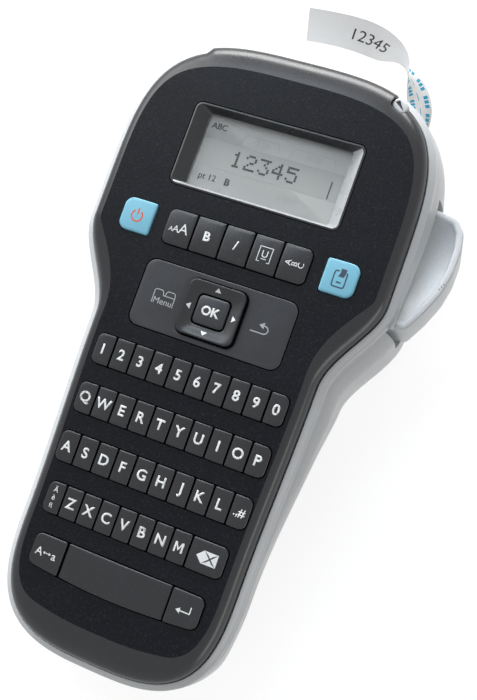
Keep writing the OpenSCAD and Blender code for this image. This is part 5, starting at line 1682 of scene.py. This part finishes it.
def build_nav(shop: Workshop) -> None:
    """Makes the rocker, the ring and the middle key, with their marks."""
    y = NAV.y
    clear = NAV.gap
    surface: Height = lambda a, b: -NAV.sink - NAV.fall * (a / 26) ** 2
    tile = Solid("menu_back_tile")
    tile.collar(
        rounded(NAV.width, NAV.length, [NAV.corner] * 4, 8, y=y, edge_cuts=10),
        rounded(NAV.ring_w + 2 * clear, NAV.ring_l + 2 * clear, [2.9] * 4, 8, y=y,
                edge_cuts=10),
        -KEY_DEPTH, surface, 0.3, 8)
    body = tile.object([shop.material(NAV_DARK)], 40)
    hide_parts("menu_back_rocker")
    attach(body, "menu_back_rocker")
    marks = Legends("menu_back_marks")
    mx, my = -20.3, y - 2.6
    tab = [(0, 0), (0, 4.0), (0.15, 4.4), (0.5, 4.6), (2.3, 4.6), (2.75, 4.4), (3.0, 4.0),
           (3.1, 3.3), (3.25, 3.08), (3.5, 3.0), (7.2, 3.0)]
    marks.stroke([(mx + a, my + b) for a, b in tab], 0.28, surface)
    second = [(3.8, 3.0), (4.0, 4.1), (4.3, 4.55), (4.7, 4.7), (6.3, 4.7), (6.8, 4.5),
              (7.1, 4.1), (7.2, 3.0), (7.2, 0)]
    marks.stroke([(mx + a, my + b) for a, b in second], 0.28, surface)
    marks.text("Menu", mx + 3.6, my + 1.1, 2.0, surface, 0.0)
    bx, by = 13.3, y - 1.2
    marks.stroke([(bx, by), (bx + 4.3, by), *arc(bx + 4.3, by + 1.25, 1.25, -90, 90, 10)[1:],
                  (bx + 3.8, by + 2.5)], 0.36, surface)
    marks.shape([(bx + 2.3, by + 2.5), (bx + 3.95, by + 1.45), (bx + 3.95, by + 3.55)],
                surface)
    marks.done(shop.material(LEGEND_GREY), "menu_back_rocker")

    def dished(a: float, b: float) -> float:
        """The ring's top: a raised edge round a hollow."""
        power = 5.0
        reach = ((abs(a) / (NAV.ring_w / 2)) ** power
                 + (abs(b - y) / (NAV.ring_l / 2)) ** power) ** (1 / power)
        return NAV.rise - 0.95 * smooth((1.02 - reach) / 0.42)

    ring = Solid("nav_ring_cap")
    ring.collar(rounded(NAV.ring_w, NAV.ring_l, [NAV.ring_r] * 4, 8, y=y, edge_cuts=10),
                rounded(NAV.ok_w + 2 * clear, NAV.ok_l + 2 * clear, [1.6] * 4, 8, y=y,
                        edge_cuts=10),
                -KEY_DEPTH, dished, 0.35, 10)
    body = ring.object([shop.material(KEY_DARK)], 40)
    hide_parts("nav_ring")
    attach(body, "nav_ring")
    arrows = Legends("nav_ring_arrows")
    for turn in range(4):
        angle = math.pi / 2 * turn
        reach = (NAV.ring_w + NAV.ok_w) / 4 if turn % 2 == 0 else (NAV.ring_l + NAV.ok_l) / 4
        cx, cy = (reach + 0.3) * math.cos(angle), y + (reach + 0.3) * math.sin(angle)
        points = [(0.75, 0.0), (-0.6, 1.05), (-0.6, -1.05)]
        arrows.shape([(cx + p * math.cos(angle) - q * math.sin(angle),
                       cy + p * math.sin(angle) + q * math.cos(angle)) for p, q in points],
                     dished)
    arrows.done(shop.material(LEGEND_WHITE), "nav_ring")
    top = crown_ball(0, y, 40.0, NAV.rise - 0.3)
    caps = Solid("ok_key_cap")
    caps.cap(rounded(NAV.ok_w, NAV.ok_l, [NAV.ok_r] * 4, y=y), KEY_BASE, top, 0.45, 6)
    body = caps.object([shop.material(NAV_DARK)], 40)
    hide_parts("ok_key")
    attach(body, "ok_key")
    word = Legends("ok_key_legend")
    word.text("OK", 0, y, 2.7, top, 0.035)
    word.done(shop.material(LEGEND_WHITE), "ok_key")


# ---- the display ----------------------------------------------------------------------------

DOT_ROWS = {
    "1": "00100 01100 00100 00100 00100 00100 01110",
    "2": "01110 10001 00001 00110 01000 10000 11111",
    "3": "11111 00010 00100 00010 00001 10001 01110",
    "4": "00010 00110 01010 10010 11111 00010 00010",
    "5": "11111 10000 11110 00001 00001 10001 01110"}


def build_display(shop: Workshop) -> None:
    """Makes the bezel and what the screen shows behind the CAD piece's clear window."""
    plan, y = DISPLAY, DISPLAY.y
    bezel = Solid("display_bezel_frame")
    rows = ((plan.width, plan.length, 2.35, plan.glass_drop),
            (plan.width, plan.length, 2.35, COVER_DROP + 0.12),
            (plan.width - 1.0, plan.length - 1.0, 2.0, COVER_DROP),
            (plan.width - 1.4, plan.length - 1.2, 1.9, COVER_DROP + 0.1),
            (plan.glass_w + 0.3, plan.glass_l + 0.3, 0.9, plan.glass_drop - 0.12),
            (plan.glass_w, plan.glass_l, 0.8, plan.glass_drop))
    rings = [bezel.ring((px, py, -depth) for px, py in rounded(w, l, [r] * 4, 8, y=y))
             for w, l, r, depth in rows]
    for a, b in zip(rings, rings[1:] + rings[:1]):
        bezel.bridge(a, b)
    # Painted light and shade: the upper and left inner walls take the black band material as
    # painted shade, and the lower and right inner walls keep the silver as a painted reflection
    # of the light. The outer side and the lip are black like the cover.
    for number in range(len(bezel.faces)):
        lap, place = divmod(number, len(rings[0]))
        px, py = rounded(2, 2, [0.4] * 4, 8)[place]
        if lap in (0, 1, 2) or py > px:
            bezel.slots[number] = 1
    body = bezel.object([shop.material(BEZEL), shop.material(BAND_BLACK)], 30)
    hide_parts("display_bezel")
    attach(body, "case")
    surface: Height = lambda a, b: -plan.glass_drop - 0.8
    band = Legends("lcd_band_fill", 0.02, 0.004)
    left, right = -plan.glass_w / 2 + 0.4, plan.glass_w / 2 - 0.4
    low, high = y - 4.6, y + 4.6
    band.shape([(left, low), (right, low), (right, high), (left, high)], surface)
    band.done(shop.material(LCD_BAND), "case")
    ghost = Legends("lcd_ghost_marks", 0.04, 0.004)
    for x0, x1 in ((-12.0, 2.0), (5.0, 21.0)):
        ghost.stroke([(x0, y + 5.4), (x0 + 1.4, y + 8.6), (x1 - 1.4, y + 8.6), (x1, y + 5.4)],
                     0.22, surface)
    for x, words in ((-5.0, "12 34"), (13.0, "5678")):
        ghost.text(words, x, y + 7.0, 1.7, surface, 0.0)
    ghost.text("67890", 9.0, y - 8.0, 1.9, surface, 0.0)
    ghost.done(shop.material(LCD_GHOST), "case")
    ink = Legends("lcd_ink_marks", 0.06, 0.004)
    pitch, dot = 0.76, 0.7
    start = -12.6
    for k, letter in enumerate("12345"):
        for r, line in enumerate(DOT_ROWS[letter].split()):
            for c, on in enumerate(line):
                if on == "1":
                    px, py = start + k * 4.75 + c * pitch, y + (3 - r) * pitch
                    half = dot / 2
                    ink.shape([(px - half, py - half), (px + half, py - half),
                               (px + half, py + half), (px - half, py + half)], surface)
    ink.stroke([(21.2, y - 4.2), (21.2, y + 1.6)], 0.42, surface)
    ink.text("ABC", -20.4, y + 9.0, 1.9, surface, 0.006)
    ink.text("pt 12", -18.6, y - 8.0, 2.0, surface, 0.006)
    ink.text("B", -11.6, y - 8.0, 2.2, surface, 0.03)
    ink.done(shop.material(LCD_INK), "case")


# ---- the label ------------------------------------------------------------------------------


@dataclass(frozen=True)
class LabelStrip:
    """The printed label that leaves the case and turns over."""

    path: tuple[Triple, ...] = (
        (37.4, 41.6, 12.3), (37.4, 54, 12.3), (37.6, 68, 12), (21, 78, 20), (22, 71, 38),
        (8, 71, 38), (-8, 69, 39))
    width: float = 11.4
    thickness: float = 0.25
    steps: int = 120

    def at(self, s: float) -> Vector:
        """The middle line's point at a share of its length."""
        points = [Vector(p) for p in self.path]
        while len(points) > 1:
            points = [a.lerp(b, s) for a, b in zip(points, points[1:])]
        return points[0]

    def lean(self, s: float) -> float:
        """The strip's lean at a share of its length, in radians."""
        return math.radians(-46 * smooth((s - 0.09) / 0.21) * (1 - smooth((s - 0.32) / 0.3))
                            + 40 * smooth((s - 0.45) / 0.35))

    def axes(self, s: float) -> tuple[Vector, Vector, Vector]:
        """The strip's directions along, across and through at a share of its length."""
        along = (self.at(s + 0.01) - self.at(s - 0.01)).normalized()
        side = Vector((along.y, -along.x, 0)).normalized()
        up = side * math.sin(self.lean(s)) + Vector((0, 0, 1)) * math.cos(self.lean(s))
        across = (up - along * up.dot(along)).normalized()
        return along, across, along.cross(across).normalized()

    def point(self, s: float, u: float, w: float) -> Vector:
        """A point at a share s, u across and w through, in millimetres."""
        _, across, through = self.axes(s)
        return self.at(s) + across * u + through * w

    def build(self, shop: Workshop) -> None:
        """Makes the strip itself; its print and the marks on its liner are added by
        build_label_art.
        """
        strip = Solid("label_strip", False)
        half, thick = self.width / 2, self.thickness / 2
        across = 6
        rings = []
        for k in range(self.steps + 1):
            s = k / self.steps
            ring = [self.point(s, mix(-half, half, i / across), thick)
                    for i in range(across + 1)]
            ring += [self.point(s, mix(half, -half, i / across), -thick)
                     for i in range(across + 1)]
            rings.append(strip.ring(ring))
        for a, b in zip(rings, rings[1:]):
            strip.bridge(a, b)
        strip.lid(rings[0], False)
        strip.lid(rings[-1])
        body = strip.object([shop.material(PAPER)], 50)
        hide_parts("printed_label")
        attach(body, "case")


def strip_marks(strip: LabelStrip, marks: Legends, side: int, start: float,
                signs: tuple[int, int] = (1, 1)) -> None:
    """Moves flat marks on to the strip: x runs along it from a share, y across it.

    Args:
        strip: The label strip.
        marks: Marks made flat, in millimetres.
        side: Which face they lie on, 1 or -1.
        start: Share of the strip's length at x = 0.
        signs: Which way x and y run, 1 or -1 each.
    """
    count = 600
    reached = [0.0]
    for k in range(count):
        reached.append(reached[-1] + (strip.at((k + 1) / count) - strip.at(k / count)).length)
    origin = reached[round(start * count)]

    def share(length: float) -> float:
        """The share of the strip at which a length is reached."""
        want = min(reached[-1], max(0.0, length))
        k = next((i for i, r in enumerate(reached) if r >= want), count)
        before = reached[k - 1] if k else 0.0
        return (k - 1 + (want - before) / max(1e-9, reached[k] - before)) / count if k else 0.0

    for v in marks.work.verts:
        x, y, z = v.co
        v.co = strip.point(share(origin + signs[0] * x), signs[1] * y,
                           side * (strip.thickness / 2 + z))
    bmesh.ops.recalc_face_normals(marks.work, faces=marks.work.faces[:])


def build_label_art(shop: Workshop) -> None:
    """Prints the label and marks the liner on its other side."""
    strip = LabelStrip()
    right, upright, toward = (FACE.matrix().to_3x3() @ way for way in CameraPlan().axes())
    along, across, through = strip.axes(0.86)
    signs = (1 if along.dot(right) > 0 else -1, 1 if across.dot(upright) > 0 else -1)
    front = 1 if through.dot(toward) > 0 else -1
    level: Height = lambda a, b: 0.0
    words = Legends("label_print", 0.02, 0.01)
    words.text("12345", 0.0, 0.0, 3.7, level, 0.0, wide=1.1)
    strip_marks(strip, words, front, 0.73, signs)
    words.done(shop.material(INK), "case", Matrix.Identity(4))
    dashes = Legends("liner_dashes", 0.02, 0.01)
    for offset, width, count in ((-3.5, 2.3, 3), (0.2, 0.5, 1), (3.5, 2.3, 3)):
        for k in range(12):
            at = 5.4 * k + (2.7 if count == 1 else 0.0)
            for part in range(count):
                lo = at + part * 1.35
                hi = lo + (2.8 if count == 1 else 0.95)
                dashes.shape([(lo, offset - width / 2), (hi, offset - width / 2 + 0.2),
                              (hi, offset + width / 2), (lo, offset + width / 2 - 0.2)], level)
    strip_marks(strip, dashes, -front, 0.06)
    dashes.done(shop.material(LINER_BLUE), "case", Matrix.Identity(4))


# ---- the cutter lever -----------------------------------------------------------------------


@dataclass(frozen=True)
class CutterLever:
    """The lever at the side: a dished wing inside a raised rim."""

    corners: tuple[Triple, ...] = (
        (47.0, -22.7, 1.6), (57.2, -21.3, 2.6), (61.0, -14.2, 14.0), (64.0, -6.6, 14.0),
        (65.4, 1.0, 12.0), (65.4, 8.6, 9.0), (64.3, 14.4, 5.0), (61.2, 18.2, 3.4),
        (51.2, 19.8, 1.2), (51.2, 5.0, 1.0), (47.0, -15.5, 1.0))
    low: float = LEVER_LOW
    high: float = LEVER_LOW + LEVER_TALL
    rim: float = 2.5
    drop: float = 1.5
    bore: float = 1.56
    bowl: float = 42.0
    bowl_at: Point = (57.6, 1.0)
    pivot: Point = LEVER_PIVOT

    def plan(self, drawn: float = 0.0) -> list[Point]:
        """The lever's outline drawn in by a distance, with its corners rounded."""
        count = len(self.corners)
        spots = [Vector(c[:2]) for c in self.corners]
        ways = [(spots[(k + 1) % count] - spots[k]).normalized() for k in range(count)]
        moved = []
        for k in range(count):
            before, after = ways[k - 1], ways[k]
            a = Vector((-before.y, before.x))
            b = Vector((-after.y, after.x))
            moved.append(spots[k] + (a + b) * drawn / (1.0 + a.dot(b)))
        found: list[Point] = []
        for k, here in enumerate(moved):
            a, b = moved[k - 1] - here, moved[(k + 1) % count] - here
            turn = math.acos(max(-1.0, min(1.0, a.normalized().dot(b.normalized()))))
            r = max(0.5, self.corners[k][2] - drawn)
            cut = min(a.length * 0.48, b.length * 0.48, r / max(0.05, math.tan(turn / 2)))
            p, q = here + a.normalized() * cut, here + b.normalized() * cut
            for i in range(9):
                t = i / 8
                spot = p * (1 - t) ** 2 + here * 2 * t * (1 - t) + q * t * t
                found.append((spot.x, spot.y))
        return found

    def dish(self, x: float, y: float) -> float:
        """Height of the dished face."""
        cx, cy = self.bowl_at
        away = min(self.bowl ** 2 * 0.9, (x - cx) ** 2 + (y - cy) ** 2)
        return self.high - self.drop - 2.4 + self.bowl - math.sqrt(self.bowl ** 2 - away)

    def build(self, shop: Workshop) -> None:
        """Makes the lever, with the arm and boss that the CAD lever has inside."""
        plan = self.plan()
        solid = Solid("cutter_lever_wing", False)
        edges = ((0.0, self.high - 1.1), (0.12, self.high - 0.55), (0.42, self.high - 0.16),
                 (0.95, self.high), (self.rim - 0.55, self.high - 0.02),
                 (self.rim - 0.15, self.high - 0.3))
        last = solid.ring((x, y, self.low) for x, y in plan)
        solid.lid(last, False)
        low_edge = solid.ring((x, y, self.low + 0.4) for x, y in plan)
        solid.bridge(last, low_edge)
        last = low_edge
        for drawn, z in edges:
            ring = solid.ring((x, y, z) for x, y in self.plan(drawn))
            solid.bridge(last, ring)
            last = ring
        inner = self.plan(self.rim + 0.35)
        cx, cy = self.bowl_at
        for k in range(9):
            t = 1 - k / 9
            ring = solid.ring((x, y, min(self.high - 0.45, self.dish(x, y))) for x, y in
                              ((cx + (u - cx) * t, cy + (v - cy) * t) for u, v in inner))
            solid.bridge(last, ring)
            last = ring
        solid.fan(last, (cx, cy, self.dish(cx, cy)))
        body = solid.object([shop.material(LEVER_SILVER)], 35)
        bore = Solid("bore", False)
        bore.prism(disc(*self.pivot, self.bore), self.low - 1, self.high + 1)
        carve(body, bore.object([]))
        finish_shading(body, 35)
        body.data.validate()
        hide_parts("cutter_lever")
        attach(body, "cutter_lever")
        pad = Solid("cutter_lever_pad", False)
        gear_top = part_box("idler_gear")[1].z / MM
        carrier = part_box("cutter_carrier")[1].x / MM
        block(pad, (carrier + 0.4, 13.0, gear_top + 1.0), (carrier + 10.8, 19.0,
                                                          gear_top + 3.6))
        arm = pad.object([shop.material(LEVER_SILVER)])
        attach(arm, "cutter_lever")
        dots = Solid("cutter_lever_dots", False)
        for k in range(3):
            dots.ball((62.9 + 0.42 * k, -5.6 + 0.95 * k, self.high - 0.02), 0.2, 0.5)
        marks = dots.object([shop.material(BLACK_PLASTIC)])
        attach(marks, "cutter_lever")


# ---- the stage ------------------------------------------------------------------------------


@dataclass(frozen=True)
class CameraPlan:
    """Where the camera stands, in the face frame."""

    place: Triple = (89.6, -12.7, 297.1)
    aim: Triple = (12.3, 8.4, 0.0)
    turn: float = 19.8
    sensor: float = 36.0
    lens: float = 51.4

    def axes(self) -> tuple[Vector, Vector, Vector]:
        """The camera's right, up and back directions, in the face frame."""
        back = (Vector(self.place) - Vector(self.aim)).normalized()
        level = Vector((0, 1, 0)) - back * back.y
        up = Matrix.Rotation(math.radians(self.turn), 3, back) @ level.normalized()
        return up.cross(back), up, back

    def build(self) -> None:
        """Makes the camera and hands it to the scene."""
        data = bpy.data.cameras.new("camera")
        data.sensor_width = self.sensor
        data.lens = self.lens
        data.clip_start = 0.01
        data.clip_end = 20.0
        camera = bpy.data.objects.new("camera", data)
        bpy.context.scene.collection.objects.link(camera)
        turn = Matrix(self.axes()).transposed().to_4x4()
        spot = Matrix.Translation(Vector(self.place) * MM)
        camera.matrix_world = FACE.matrix() @ spot @ turn
        bpy.context.scene.camera = camera


@dataclass(frozen=True)
class Lamp:
    """One soft lamp, aimed at a point. Lengths in metres."""

    name: str
    place: Triple
    aim: Triple
    size: tuple[float, float]
    power: float
    colour: Colour = (1.0, 1.0, 1.0)

    def build(self) -> None:
        """Makes the lamp."""
        data = bpy.data.lights.new(self.name, "AREA")
        data.shape = "RECTANGLE"
        data.size, data.size_y = self.size
        data.energy = self.power
        data.color = self.colour
        lamp = bpy.data.objects.new(self.name, data)
        way = Vector(self.aim) - Vector(self.place)
        lamp.matrix_world = (Matrix.Translation(self.place)
                             @ way.to_track_quat("-Z", "Y").to_matrix().to_4x4())
        bpy.context.scene.collection.objects.link(lamp)


LAMPS = (
    Lamp("key_lamp", (-1.0, 0.55, 0.75), (0.0, -0.05, 0.03), (0.9, 0.9), 9.0,
         (0.97, 0.985, 1.0)),
    Lamp("sheen_lamp", (-0.4, 0.5, 1.1), (0.0, 0.02, 0.03), (0.6, 0.35), 3.4,
         (0.78, 0.89, 1.0)),
    Lamp("head_lamp", (-0.15, 1.0, 0.45), (0.0, 0.0, 0.03), (1.0, 0.3), 13.0),
    Lamp("fill_lamp", (1.0, -0.45, 0.28), (0.03, -0.03, 0.02), (0.9, 0.3), 2.5),
)


def background_rays(graph: Graph) -> bpy.types.NodeSocket:
    """Masks the rays that show the pale background, so that glass and metal show it too.

    Args:
        graph: The tree of the world or of the floor's material.

    Returns:
        A value of 1 on those rays.
    """
    path = graph.add("ShaderNodeLightPath")
    rays = graph.math("MAXIMUM", path.outputs["Is Camera Ray"],
                      path.outputs["Is Transmission Ray"])
    return graph.math("MAXIMUM", rays, path.outputs["Is Glossy Ray"])


def build_world() -> None:
    """A soft room: bright all round, darker on the right and white behind everything."""
    world = bpy.data.worlds.new("room")
    bpy.context.scene.world = world
    world.use_nodes = True
    graph = Graph(world.node_tree)
    shade = world.node_tree.nodes["Background"]
    way = graph.add("ShaderNodeSeparateXYZ",
                    (0, graph.add("ShaderNodeTexCoord").outputs["Generated"]))
    side = graph.ramp(way.outputs["X"], -0.5, 0.6, 0.85, 0.08)
    rise = graph.ramp(way.outputs["Z"], 0.35, 0.9, 1.0, 0.3)
    level = graph.math("MULTIPLY", side, rise)
    seen = background_rays(graph)
    strength = graph.add("ShaderNodeMix", (0, seen), (2, graph.math("MULTIPLY", level, 0.9)),
                         (3, 1.0), data_type="FLOAT")
    shade.inputs["Color"].default_value = (1.0, 1.0, 1.0, 1.0)
    graph.tree.links.new(strength.outputs[0], shade.inputs["Strength"])


def build_floor(shop: Workshop) -> None:
    """A white table under the object."""
    floor = Solid("floor", False)
    block(floor, (-1600, -1600, -20.0), (1600, 1600, -0.02))
    material = shop.material(FLOOR)
    graph = Graph(material.node_tree)
    shader = material.node_tree.nodes["Principled BSDF"]
    seen = background_rays(graph)
    lift = graph.add("ShaderNodeMix", ("Factor", seen), (6, (0, 0, 0, 1)),
                     (7, (0.88, 0.88, 0.88, 1.0)), data_type="RGBA")
    graph.tree.links.new(lift.outputs[2], shader.inputs["Emission Color"])
    shader.inputs["Emission Strength"].default_value = 1.0
    floor.object([material])


def dress_nodes(shop: Workshop) -> None:
    """Gives every CAD node the finish of its slot."""
    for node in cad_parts.values():
        for index, material in enumerate(node.data.materials):
            name = material.name.split(".")[0] if material else "silver"
            finish = SLOT_FINISHES.get(name)
            if finish:
                node.data.materials[index] = shop.material(finish)


def clear_defaults() -> None:
    """Removes what a new file holds."""
    for name in ("Cube", "Light", "Camera"):
        thing = bpy.data.objects.get(name)
        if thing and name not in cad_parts:
            bpy.data.objects.remove(thing)


def main() -> None:
    """Dresses the frame, sets the stage and hands the scene over."""
    logging.basicConfig(level=logging.INFO, format="%(name)s: %(message)s")
    clear_defaults()
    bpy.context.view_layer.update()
    CameraPlan().build()
    shop = Workshop()
    dress_nodes(shop)
    FrontCover().build(shop)
    LOG.info("front cover made")
    RearCase().build(shop)
    LOG.info("rear case made")
    for keys in key_sets():
        keys.build(shop)
    LOG.info("keys made")
    build_big_keys(shop)
    build_nav(shop)
    build_display(shop)
    LabelStrip().build(shop)
    build_label_art(shop)
    CutterLever().build(shop)
    LOG.info("display and label made")
    build_world()
    build_floor(shop)
    for lamp in LAMPS:
        lamp.build()
    bpy.context.scene.view_settings.view_transform = "Standard"


if __name__ == "__main__":
    main()
